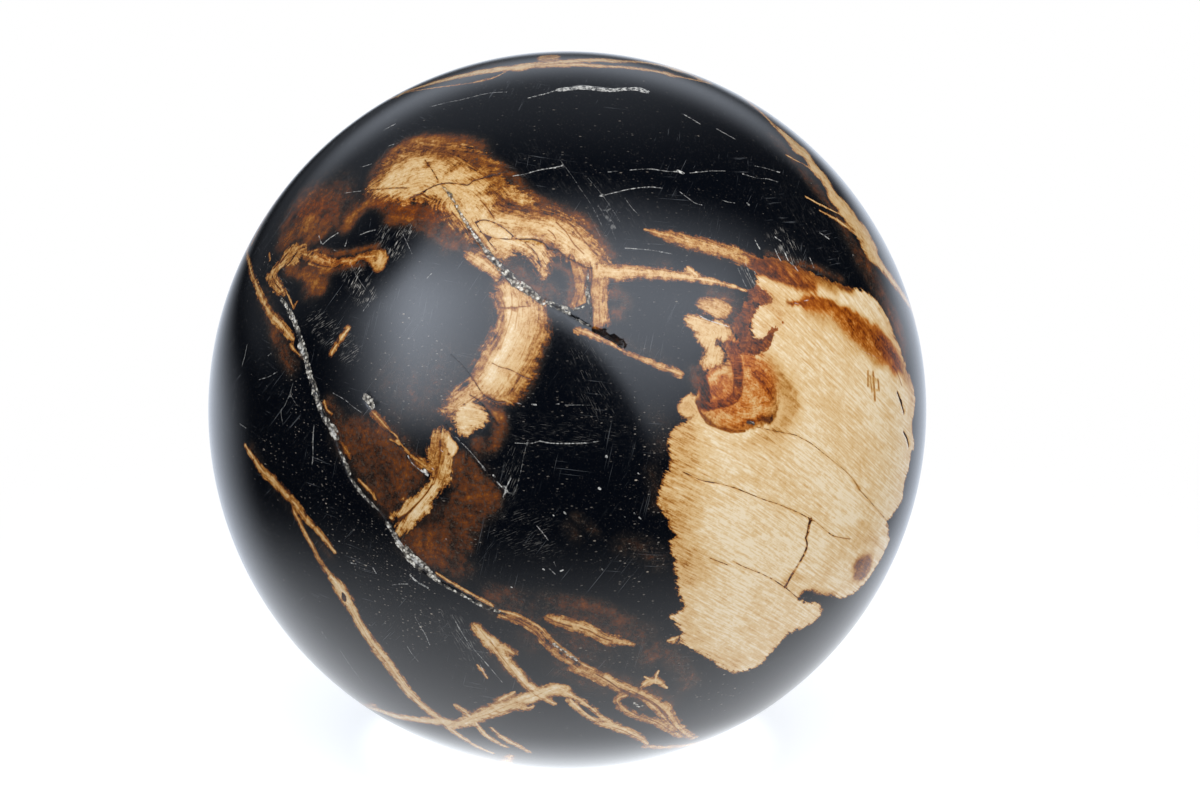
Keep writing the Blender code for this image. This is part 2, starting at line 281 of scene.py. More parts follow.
# Soft changes of shade inside the pale wood: (shade, how strongly, half-width in px, softness in px,
# pixels)
TINTS = [
    (0.28, 0.7, 14, 14, [770, 312, 800, 312, 830, 326, 850, 344]),
    (0.24, 0.6, 14, 14, [752, 622, 770, 632]),
    (0.46, 0.85, 24, 24, [682, 430, 684, 450, 678, 480, 676, 505, 684, 535, 688, 560]),
    (HONEY, 0.7, 7, 10, [670, 440, 664, 480, 662, 500, 670, 520, 676, 545]),
    (TAN, 0.6, 9, 12, [684, 575, 690, 605, 686, 630, 704, 648, 732, 664]),
    (TAN, 0.6, 4, 9, [760, 662, 785, 640, 815, 620]),
    # Round the knot, and in it
    (AMBER, 0.7, 7, 8, [768, 366, 780, 384, 787, 402, 784, 420]),
    (0.58, 0.75, 9, 14, [776, 372, 788, 392, 790, 412]),
    (0.68, 0.7, 2, 3, [762, 362, 774, 376, 784, 392, 788, 404]),
    (RUST, 0.7, 1, 1.5, [766, 365, 778, 378, 790, 388, 800, 396]),
    (RUST, 0.6, 1, 1.5, [772, 384, 784, 392, 796, 402]),
    (ORANGE, 0.6, 1, 1.5, [780, 396, 792, 406, 802, 414]),
    (HONEY, 0.5, 8, 14, [730, 440, 755, 446, 780, 445]),
    (0.57, 0.9, 6, 4, [712, 418, 726, 414, 742, 410, 756, 402, 766, 402]),
    (0.67, 0.9, 6, 4, [750, 362, 757, 372, 764, 382, 771, 394]),
    (0.60, 0.8, 6, 4, [716, 396, 712, 388, 716, 382]),
    (RUST, 0.9, 0.8, 1.2, [757, 380, 763, 385, 769, 391, 774, 398, 777, 408]),
    (0.52, 0.85, 3, 3, [726, 417, 742, 416, 756, 409, 767, 400]),
    (0.59, 0.8, 5, 4, [722, 374, 716, 380, 712, 390]),
    (RUST, 0.9, 2, 2, [733, 427, 742, 426, 752, 427]),
    (BROWN, 0.9, 2, 2, [743, 422, 750, 420, 755, 424]),
    (BROWN, 0.9, 3, 3, [758, 420, 764, 420, 772, 418]),
    (0.74, 0.8, 2, 2, [706, 418, 714, 425, 730, 430]),
    (BROWN, 0.9, 2, 2, [762, 417, 765, 420, 770, 423]),
    # The band along the top of the cream, and the streak below it
    (0.88, 0.95, 9, 4, [758, 266, 770, 271, 785, 276, 798, 280, 810, 285]),
    (0.86, 0.95, 5, 4, [757, 258, 770, 260, 785, 263, 800, 268, 812, 273, 826, 279, 840, 285, 850, 289]),
    (BROWN, 0.8, 1, 1, [764, 272, 778, 278, 792, 283, 806, 288]),
    (AMBER, 0.5, 1.2, 1.2, [760, 269, 774, 272, 788, 279, 802, 284]),
    (TAN, 0.5, 1, 1, [768, 267, 782, 271, 796, 277, 810, 283]),
    (0.66, 0.85, 6, 4, [806, 277, 820, 282, 834, 289]),
    (0.70, 0.8, 2.5, 2, [788, 285, 800, 289, 814, 292]),
    (LIGHT, 0.9, 2, 2, [762, 279, 772, 285, 782, 291]),
    (0.2, 0.6, 4, 4, [780, 290, 798, 297, 812, 295]),
    (AMBER, 0.7, 5, 7, [765, 292, 775, 296, 770, 305]),
    (BROWN, 1.0, 1.5, 1, [787, 303, 792, 304]),
    (0.54, 0.9, 7, 5, [810, 310, 828, 318, 846, 330, 862, 344, 876, 360]),
    (0.60, 0.9, 6, 4, [836, 318, 852, 330, 868, 346, 882, 362]),
    (0.74, 1.0, 2, 1.5, [788, 303, 798, 303, 806, 302]),
    (0.74, 1.0, 7, 4, [806, 302, 822, 304, 838, 311, 852, 320]),
    (0.73, 1.0, 11, 6, [850, 320, 864, 330, 876, 341, 888, 354, 894, 364]),
    (0.80, 0.9, 1, 1, [812, 297, 828, 300, 844, 307, 860, 316, 876, 328]),
    (0.79, 0.9, 6, 5, [877, 331, 886, 341, 896, 355, 904, 369, 909, 382]),
    (0.78, 0.8, 1, 1, [822, 306, 838, 314, 854, 325, 868, 337, 880, 350]),
    (0.60, 0.8, 1, 1, [832, 314, 848, 324, 862, 335, 874, 347]),
    (0.74, 0.8, 5, 5, [888, 342, 898, 360, 906, 378]),
    (BROWN, 0.7, 3, 4, [892, 352, 897, 362, 902, 372]),
    (HONEY, 0.7, 5, 6, [892, 330, 902, 350, 909, 372, 913, 396]),
    (0.30, 0.8, 8, 6, [757, 322, 766, 326, 775, 320]),
    (0.2, 0.6, 14, 14, [790, 340, 830, 350, 850, 370]),
    (TAN, 0.6, 4, 6, [885, 318, 896, 340, 905, 370, 912, 400, 911, 440]),
    (LIGHT, 0.9, 24, 22, [722, 528, 760, 536, 796, 552]),
    (LIGHT, 0.5, 14, 16, [714, 602, 734, 612]),
    (LIGHT, 0.6, 14, 14, [806, 470, 836, 500, 860, 520]),
    (0.22, 0.6, 18, 16, [820, 400, 850, 440, 870, 480]),
    (0.22, 0.5, 14, 14, [740, 470, 790, 480, 830, 510]),
    (TAN, 0.6, 6, 8, [860, 530, 875, 540, 870, 560]),
    (0.60, 0.8, 0.8, 1, [852, 480, 860, 490]),
    (0.76, 0.95, 9, 5, [858, 564, 866, 562, 866, 572, 858, 573]),
    (0.76, 0.85, 4, 4, [802, 594, 815, 592, 832, 596]),
    (STRAW, 0.6, 12, 10, [826, 575, 846, 548, 866, 536]),
    (ORANGE, 0.5, 3, 5, [784, 582, 792, 575, 800, 578]),
    # The upper blob
    (0.30, 0.9, 8, 6, [
        376, 188, 390, 180, 410, 174, 425, 174, 440, 187, 455, 192, 468, 203, 478, 213, 485, 221,
    ]),
    (CREAM, 0.9, 5, 4, [485, 228, 500, 234, 515, 243, 527, 250]),
    (0.24, 0.8, 3, 3, [500, 222, 520, 220, 540, 221, 552, 228, 562, 244, 575, 253, 590, 263, 604, 268]),
    (0.26, 0.9, 5, 3, [527, 245, 537, 250, 544, 258, 545, 268]),
    (0.64, 0.85, 8, 8, [376, 178, 392, 162, 412, 154, 432, 152, 452, 156]),
    (0.72, 0.75, 9, 8, [452, 152, 468, 160, 484, 170, 496, 184, 505, 198]),
    (0.86, 0.95, 7, 7, [373, 174, 385, 159, 403, 149, 420, 147, 445, 149, 470, 154, 490, 163, 504, 176]),
    (RUST, 0.7, 1.5, 3, [446, 146, 438, 158, 426, 166]),
    (RUST, 0.7, 2, 3, [470, 152, 460, 164, 446, 174]),
    (0.74, 0.7, 2, 3, [490, 164, 478, 175, 462, 182]),
    (RUST, 0.6, 2, 3, [414, 146, 406, 158, 400, 168]),
    (0.74, 0.6, 2, 3, [392, 160, 386, 172, 380, 180]),
    (BROWN, 0.7, 2, 3, [508, 186, 494, 192, 478, 194]),
    (BROWN, 0.6, 2, 3, [516, 200, 500, 204, 486, 204]),
    (HONEY, 0.7, 2, 2, [456, 160, 470, 168, 480, 178]),
    (STRAW, 0.7, 2, 2, [440, 176, 456, 184, 470, 194]),
    (BROWN, 0.9, 6, 4, [500, 202, 514, 208, 530, 212, 548, 213]),
    (0.62, 0.8, 4, 4, [556, 216, 572, 226, 586, 242, 600, 260]),
    (RUST, 0.8, 2, 3, [570, 216, 584, 227, 596, 243, 606, 260]),
    (RUST, 0.8, 3, 4, [380, 198, 400, 202, 425, 200, 440, 210, 460, 228, 480, 250, 495, 262]),
    (0.40, 0.6, 6, 6, [400, 190, 425, 190, 445, 205, 462, 218, 478, 235]),
    (0.74, 0.8, 3.5, 3.5, [518, 229, 530, 231, 541, 236, 549, 245, 555, 253]),
    (BROWN, 0.9, 3.5, 3, [552, 247, 556, 254, 562, 261, 569, 266]),
    (0.64, 0.8, 4, 3, [493, 214, 506, 212, 520, 215, 536, 219]),
    # The central vein
    (ORANGE, 0.8, 3, 4, [500, 290, 503, 310, 500, 335, 488, 355, 476, 378]),
    (TAN, 0.8, 4, 5, [515, 290, 528, 305, 535, 325]),
    (0.60, 0.85, 6, 7, [541, 320, 539, 338, 531, 360, 524, 378, 514, 396]),
    (0.50, 0.6, 3, 4, [522, 300, 526, 325, 520, 350, 508, 372]),
    (LIGHT, 0.7, 5, 4, [507, 300, 512, 325, 505, 345, 495, 365, 490, 380]),
    (AMBER, 0.9, 5, 5, [512, 385, 508, 398]),
    (AMBER, 0.8, 4, 4, [449, 404, 449, 412]),
    (ORANGE, 0.7, 3, 4, [436, 440, 432, 460, 440, 480]),
    (0.78, 0.8, 3, 4, [442, 442, 440, 456, 437, 470]),
    (CREAM, 0.8, 4, 4, [436, 490, 424, 504, 410, 516]),
    (0.24, 0.8, 5, 4, [695, 325, 712, 330, 712, 345, 712, 358]),
    # Round the knot's right side, then its golden middle, its loop and its left lobe
    (0.52, 0.8, 5, 6, [762, 354, 774, 367, 783, 384, 788, 402, 784, 419, 772, 432, 756, 438]),
    (0.70, 0.7, 0.8, 1.2, [776, 366, 786, 380, 797, 394]),
    (0.70, 0.7, 0.8, 1.2, [780, 386, 790, 396, 800, 408]),
    (0.53, 0.85, 7, 5, [750, 378, 757, 392, 758, 405, 744, 414]),
    (0.46, 0.7, 3, 4, [740, 417, 752, 413, 764, 408]),
    (0.82, 0.95, 1.2, 1.8, [754, 372, 763, 384, 771, 395, 776, 406, 775, 416]),
    (0.64, 0.85, 5, 5, [716, 388, 724, 395, 729, 396]),
    (0.34, 0.9, 3, 3, [712, 379, 718, 372, 724, 369]),
    # Fibres in the streak
    (0.86, 0.8, 0.7, 1, [830, 304, 846, 312, 862, 323, 876, 336, 888, 350]),
    (0.84, 0.7, 0.7, 1, [836, 313, 852, 323, 868, 335, 882, 351]),
    (0.54, 0.8, 0.7, 1, [842, 319, 857, 329, 871, 341, 883, 356]),
    (0.56, 0.7, 0.6, 1, [826, 307, 842, 315, 858, 326, 873, 339]),
]

# Where the wood is redder: (how strongly, half-width in px, softness in px, pixels)
RUDDY = [
    (0.5, 14, 6, [760, 290, 752, 308, 746, 326, 752, 344, 768, 336, 778, 326]),
    (0.7, 8, 5, [734, 346, 737, 366, 738, 386, 732, 400, 706, 406]),
    (0.80, 18, 8, [716, 386, 730, 410, 752, 404, 760, 384, 752, 366]),
    (0.5, 10, 8, [758, 266, 785, 275, 812, 286]),
    (0.7, 10, 6, [798, 302, 818, 304, 838, 313, 858, 326]),
    (0.6, 20, 8, [850, 318, 866, 330, 880, 343, 892, 360]),
    (0.5, 10, 10, [296, 214, 316, 206, 332, 212]),
    (0.4, 5, 5, [316, 258, 336, 262, 352, 261, 368, 258]),
    (0.4, 10, 8, [380, 206, 410, 208, 436, 214]),
]

# Dark wood over the pale, with an outline: (shade, raggedness in mm, pixels)
DARK_PATCHES = [
    (0.81, 0.36, [
        756, 286, 762, 289, 767, 293, 772, 297, 773, 300, 770, 303, 764, 305, 759, 305, 756, 309,
        755, 314, 752, 319, 750, 325, 749, 330, 753, 335, 759, 338, 764, 336, 768, 333, 769, 330,
        774, 328, 780, 324, 783, 322, 779, 327, 776, 331, 774, 337, 772, 342, 770, 347, 766, 351,
        761, 354, 755, 356, 748, 355, 741, 353, 736, 350, 731, 346, 735, 343, 739, 342, 738, 338,
        735, 334, 732, 329, 731, 324, 736, 318, 741, 310, 744, 303, 746, 297, 748, 291, 752, 288,
    ]),
    (1.05, 0.06, [342, 592, 346, 596, 346, 602, 342, 599]),
    (1.05, 0.08, [630, 702, 637, 700, 644, 703, 648, 709, 641, 711, 634, 708]),
    (1.05, 0.06, [578, 704, 584, 706, 592, 712, 600, 718, 592, 716, 584, 711]),
    (1.1, 0.05, [574, 310, 590, 303, 591, 322, 582, 319]),
]

# Dark wood that runs as a line: (half-widths in px, shade, pixels)
DARK_VEINS = [
    ((3.5, 4.5, 5.5, 5), 0.92, [699, 368, 702, 378, 705, 390, 706, 402]),
    ((6, 5, 5, 4.5, 4), 0.82, [
        730, 347, 735, 358, 738, 372, 738, 385, 736, 396, 728, 402, 715, 405, 705, 407, 699, 402,
    ]),
    ((1.2,), 0.84, [718, 341, 724, 347, 730, 352]),
    ((0.8, 1.3, 2.0, 1.2, 2.0, 1.4), 0.78, [
        697, 404, 700, 412, 705, 419, 710, 424, 720, 428, 732, 431, 745, 431,
    ]),
    ((0.5,), 0.66, [510, 285, 512, 300, 510, 320, 500, 350]),
    ((0.4,), 0.62, [520, 292, 518, 310, 515, 330]),
    ((0.4,), 0.64, [530, 325, 526, 345, 520, 360]),
    ((0.5,), 0.84, [498, 307, 508, 308, 530, 306]),
    ((0.6, 0.7, 0.9, 1.4, 1.8), 0.92, [432, 485, 425, 495, 415, 506, 407, 514, 399, 520]),
    ((0.4,), 0.80, [440, 455, 438, 470, 434, 484]),
    ((0.8, 1.6, 0.8), 1.05, OPEN_CRACK),
    ((0.6, 1.4, 0.6), 1.05, OPEN_CRACK_BELOW),
    ((0.4,), 0.9, [893, 366, 898, 375, 902, 386]),
    # Gaps between the strands at the upper left
    ((0.7,), 1.0, [284, 250, 280, 260, 274, 268]),
    ((0.6,), 1.0, [297, 252, 290, 262, 283, 268]),
    ((0.6,), 0.9, [272, 276, 276, 284, 281, 290]),
    ((0.6,), 0.95, [312, 262, 322, 266, 336, 268]),
    ((0.5,), 0.88, [452, 212, 462, 224, 470, 238]),
    ((0.6,), 0.86, [480, 200, 486, 206, 490, 212, 494, 218]),
    ((0.6,), 0.84, [556, 222, 566, 232, 574, 244, 584, 254]),
    ((0.5,), 0.84, [566, 220, 576, 230, 586, 243, 598, 256]),
    ((0.5,), 0.9, [548, 230, 553, 234, 556, 239]),
    # Strands in the veins of the foot
    ((0.6,), 0.86, [552, 621, 562, 624, 572, 627]),
    ((0.6,), 0.84, [580, 628, 590, 631, 600, 637, 612, 641]),
    ((0.4,), 0.66, [490, 640, 498, 652, 508, 665, 520, 680, 534, 694, 550, 703]),
    ((0.4,), 0.66, [480, 630, 490, 642, 503, 656]),
    ((0.4,), 0.60, [470, 719, 488, 714, 506, 706, 524, 700, 542, 693]),
    ((0.4,), 0.60, [478, 723, 492, 716, 508, 710]),
    ((0.7,), 0.9, [508, 618, 522, 623, 534, 631, 543, 641]),
    ((0.6,), 0.9, [596, 674, 610, 682, 624, 692, 636, 698]),
    ((0.6,), 0.84, [620, 688, 634, 695, 648, 701, 660, 710, 670, 722, 684, 735]),
    ((0.6,), 0.82, [630, 690, 646, 698, 658, 706, 668, 716]),
    ((0.6,), 0.84, [622, 704, 634, 713, 648, 719, 660, 724, 674, 733]),
    ((0.5,), 0.76, [612, 727, 624, 731, 636, 737]),
    ((0.4,), 0.62, [350, 604, 360, 624, 372, 644, 388, 664, 404, 686, 420, 702]),
    ((0.4,), 0.60, [372, 648, 384, 662, 396, 678]),
    # Ochre dashes in the cream
    ((0.9,), 0.60, [868, 371, 868, 378, 868, 386]),
    ((1.0,), 0.62, [873, 372, 874, 386, 875, 400]),
    ((0.9,), 0.60, [878, 380, 878.5, 385, 879, 390]),
    ((0.7,), 0.56, [870, 376, 871, 384, 872, 392]),
]

# Stains in the black: (shade, strength, half-width in px, softness in px, pixels)
STAINS = [
    (0.71, 0.95, 16, 14, [300, 206, 318, 200, 330, 202, 334, 214, 318, 224, 300, 226, 288, 236]),
    (0.60, 0.7, 2, 4, [304, 228, 314, 214, 328, 202]),
    (0.62, 0.6, 2, 4, [290, 240, 300, 232, 312, 230, 324, 222]),
    (0.60, 0.7, 3, 4, [350, 224, 358, 214, 368, 205]),
    (BROWN, 0.8, 20, 16, [290, 215, 310, 190, 335, 190, 340, 205]),
    (RUST, 0.8, 7, 7, [285, 225, 300, 235, 320, 236, 300, 244]),
    (RUST, 0.9, 9, 9, [288, 268, 305, 272, 318, 276, 322, 285, 308, 290]),
    (0.76, 0.95, 6, 6, [290, 268, 300, 274, 312, 282, 320, 290]),
    (0.80, 0.95, 5, 5, [300, 247, 316, 266, 330, 270, 346, 266, 362, 264]),
    (0.80, 0.9, 4, 4, [318, 250, 334, 254, 350, 252, 364, 249, 378, 246]),
    (AMBER, 0.8, 5, 7, [346, 226, 353, 214, 364, 204, 374, 199]),
    (BROWN, 0.9, 9, 8, [262, 296, 270, 318, 280, 345, 292, 366]),
    (BROWN, 0.8, 8, 6, [330, 405, 336, 418, 338, 428]),
    (RUST, 1.0, 7, 8, [
        372, 186, 376, 172, 388, 156, 400, 146, 415, 139, 440, 139, 460, 141, 478, 146, 480, 160,
    ]),
    (AMBER, 0.7, 4, 6, [395, 150, 412, 144, 435, 142, 455, 146]),
    (RUST, 1.0, 8, 8, [
        484, 160, 500, 170, 514, 182, 526, 196, 545, 206, 565, 213, 584, 223, 596, 240, 608, 256,
    ]),
    (BROWN, 0.9, 8, 8, [500, 186, 512, 200, 530, 210]),
    (RUST, 1.0, 8, 8, [374, 200, 390, 206, 410, 208, 428, 210, 442, 220, 456, 234, 472, 250, 486, 262]),
    (0.84, 0.9, 10, 10, [392, 216, 416, 220, 434, 230, 450, 246]),
    (BROWN, 0.9, 11, 8, [500, 262, 514, 270, 528, 284, 540, 294]),
    (UMBER, 0.9, 8, 6, [540, 280, 552, 290, 562, 300]),
    (RUST, 0.9, 5, 5, [553, 264, 564, 268, 572, 282, 570, 298]),
    (AMBER, 0.7, 2, 3, [505, 273, 515, 281, 530, 291]),
    (BROWN, 0.8, 4, 6, [494, 284, 492, 310, 492, 332, 480, 352, 470, 372]),
    (RUST, 0.8, 4, 6, [548, 320, 545, 340, 538, 362, 530, 384, 520, 398]),
    (BROWN, 0.7, 5, 6, [614, 274, 616, 296, 614, 318]),
    (RUST, 0.7, 6, 8, [614, 292, 626, 300, 620, 314]),
    # Below the hollow
    (0.91, 0.95, 20, 16, [350, 436, 372, 440, 392, 452, 404, 474, 396, 496]),
    (BROWN, 0.9, 13, 12, [352, 440, 360, 460, 375, 482, 388, 500]),
    (BROWN, 0.7, 10, 10, [376, 436, 396, 448, 412, 462]),
    (RUST, 0.5, 5, 8, [396, 458, 406, 470, 400, 486]),
    (UMBER, 0.5, 30, 20, [400, 380, 430, 390, 450, 370]),
    (BROWN, 0.4, 16, 16, [398, 412, 416, 404, 430, 412]),
    (0.915, 1.0, 20, 10, [464, 470, 474, 490, 462, 515, 452, 540, 428, 546]),
    (0.91, 0.8, 9, 7, [480, 480, 494, 496, 488, 510, 470, 524, 464, 546]),
    (0.90, 0.85, 12, 10, [410, 545, 436, 560, 460, 568]),
    (RUST, 0.4, 10, 12, [436, 510, 426, 535, 446, 556]),
    (0.84, 0.95, 8, 5, [499, 414, 499, 432, 489, 448, 478, 443]),
    (AMBER, 0.8, 3, 4, [481, 400, 490, 408, 500, 418]),
    (BROWN, 0.8, 9, 9, [714, 294, 728, 298, 735, 308, 737, 322]),
    (BROWN, 0.8, 6, 5, [694, 372, 697, 388, 698, 402]),
    (0.96, 1.0, 8, 8, [492, 592, 520, 598]),
    (BROWN, 0.95, 7, 7, [545, 598, 570, 602, 600, 608, 625, 620]),
    (0.96, 0.7, 14, 12, [500, 606, 560, 612, 600, 620, 640, 636]),
    (BROWN, 0.7, 12, 12, [565, 668, 600, 684, 635, 690, 665, 702]),
    (RUST, 0.6, 7, 8, [600, 672, 630, 684, 655, 696]),
    (BROWN, 0.8, 12, 10, [645, 660, 665, 650, 680, 668, 690, 684]),
    (BROWN, 0.5, 20, 16, [540, 640, 570, 636, 600, 652]),
    (BROWN, 0.6, 5, 5, [568, 527, 576, 537]),
    (BROWN, 0.6, 4, 5, [575, 516, 585, 524, 594, 532]),
    (BROWN, 0.5, 8, 10, [655, 415, 665, 430, 660, 445]),
    (BROWN, 0.5, 6, 8, [652, 470, 656, 490, 656, 505]),
    (UMBER, 0.7, 9, 10, [625, 545, 645, 550, 660, 562]),
    (BROWN, 1.0, 8, 6, [872, 275, 880, 290, 888, 305, 896, 322, 904, 345]),
    (UMBER, 0.9, 6, 6, [860, 262, 868, 272, 874, 284]),
    (BROWN, 0.8, 5, 5, [776, 140, 796, 162, 815, 187, 834, 212, 850, 240, 866, 262]),
    (BROWN, 0.9, 4, 4, [768, 254, 785, 259, 805, 265, 822, 270, 842, 280]),
    (BROWN, 0.7, 3, 3, [470, 68, 485, 65, 500, 63]),
    (BROWN, 0.6, 6, 8, [612, 262, 640, 262, 665, 264]),
    (BROWN, 0.6, 5, 6, [655, 236, 690, 246, 720, 254, 745, 262]),
    (BROWN, 0.7, 6, 6, [730, 296, 728, 310, 730, 326]),
    (BROWN, 0.5, 6, 8, [690, 372, 695, 384]),
    (UMBER, 0.6, 6, 8, [600, 332, 630, 346, 670, 366]),
    (BROWN, 0.6, 5, 6, [480, 640, 500, 664, 530, 694]),
    (BROWN, 0.5, 4, 5, [252, 448, 270, 480, 300, 520, 330, 556]),
]

# Pale grains that fill a fissure: (half-widths in px, pixels)
GRIT = [
    ((1.5, 2.5, 4, 3, 4, 3.5), [281, 298, 286, 306, 291, 315, 295, 323, 299, 335, 303, 348, 306, 358]),
    ((5,), [301, 345, 303, 354]),
    ((3.5, 4, 4.5), [306, 360, 309, 372, 313, 385, 317, 396]),
    ((3.5,), [317, 398, 322, 412, 330, 427]),
    ((6, 5), [332, 429, 336, 436]),
    ((2, 2.5, 2), [340, 452, 345, 462, 350, 474]),
    ((2.2, 1.6), [352, 480, 362, 494, 378, 510]),
    ((1.5, 3, 4), [386, 522, 394, 534, 400, 544]),
    ((4.5, 6, 7, 4.5), [398, 541, 406, 551, 414, 560, 424, 569, 432, 575]),
    ((2, 1.5, 1.5, 2.5, 2), [432, 577, 445, 586, 460, 594, 475, 602, 488, 608, 499, 612]),
    ((1.3, 1.5, 1.9, 2.8, 5, 6, 3.5), [
        443, 187, 450, 195, 455, 203, 460, 212, 465, 221, 470, 229, 477, 239, 485, 249, 492, 258, 500, 267,
        508, 275, 514, 281, 520, 285, 527, 290, 535, 296, 543, 302,
    ]),
    ((1,), [550, 306, 560, 309, 570, 315, 580, 321, 590, 327]),
    ((1,), [548, 302, 560, 305, 572, 311]),
    ((1.5, 2.5, 1.5), [588, 274, 587, 285, 588, 298, 589, 306]),
    ((0.8,), [556, 309, 568, 310, 580, 308, 588, 304]),
    ((0.8,), [576, 320, 584, 324, 590, 326]),
    ((1.3, 1.5, 1), [553, 644, 562, 650, 572, 657, 580, 663]),
    ((1.5,), [634, 703, 638, 706, 642, 706]),
    ((1,), [590, 303, 591, 322]),
    ((2,), [748, 422, 753, 423]),
    ((3.5, 5.5, 4.5), [365, 396, 369, 401, 372, 406]),
    ((1.4,), [424, 470, 428, 474]),
]

# Thin dark cracks: (half-width in px, pixels)
CRACKS = [
    (0.8, [
        683, 472, 692, 476, 700, 480, 706, 481.5, 720, 484, 735, 488, 745, 492, 755, 496, 765, 500,
        775, 503, 785, 507, 795, 511, 803, 515, 811, 519, 817, 523, 823, 528, 832, 535, 838, 537,
        850, 539,
    ]),
    (2.8, [811, 519, 809, 525, 808, 532, 806, 538]),
    (2.2, [806, 538, 807, 545, 805, 553, 801, 560, 797, 567, 793, 573, 789, 580, 785, 587]),
    (0.9, [710, 558, 720, 562, 728, 565]),
    (0.9, [733, 561, 742, 566, 752, 570, 762, 574, 772, 579, 780, 584, 786, 588, 793, 594, 800, 600]),
    (0.5, [
        757, 427, 770, 430, 785, 433, 795, 435, 803, 439, 812, 444, 822, 452, 832, 460, 842, 468,
        852, 478, 860, 490, 868, 499, 875, 507, 882, 515, 888, 522,
    ]),
    (0.9, [370, 190, 382, 189, 395, 188, 407, 188]),
    (1.1, [
        422, 192, 432, 187, 440, 184, 450, 183, 460, 184, 468, 185, 473, 181, 480, 179, 490, 176,
        500, 174,
    ]),
    (0.8, [410, 198, 418, 195, 425, 192]),
    (1.1, [
        475, 222, 483, 220, 490, 221, 497, 224, 505, 229, 511, 234, 518, 239, 525, 239, 532, 239,
        538, 240, 545, 244, 550, 249, 558, 250, 563, 255, 570, 259, 578, 263, 585, 267, 592, 268,
    ]),
    (0.8, [480, 232, 492, 237, 505, 239, 520, 240, 530, 247, 537, 255, 541, 268]),
    (0.8, [590, 262, 592, 275, 590, 290, 592, 308, 592, 328]),
    (0.8, [492, 363, 500, 367, 508, 369, 515, 372, 522, 376, 530, 379]),
    (0.9, [451, 355, 458, 361, 465, 369, 470, 375, 475, 382, 480, 390, 485, 396, 495, 401, 505, 402]),
    (0.8, [470, 395, 478, 400, 485, 408, 492, 417, 498, 425]),
    (0.9, [446, 425, 450, 432, 458, 440, 466, 447, 475, 458, 483, 468, 492, 478, 500, 487, 507, 492]),
    (0.9, [425, 160, 432, 170, 438, 180]),
    (0.7, [476, 224, 486, 238, 496, 250]),
]

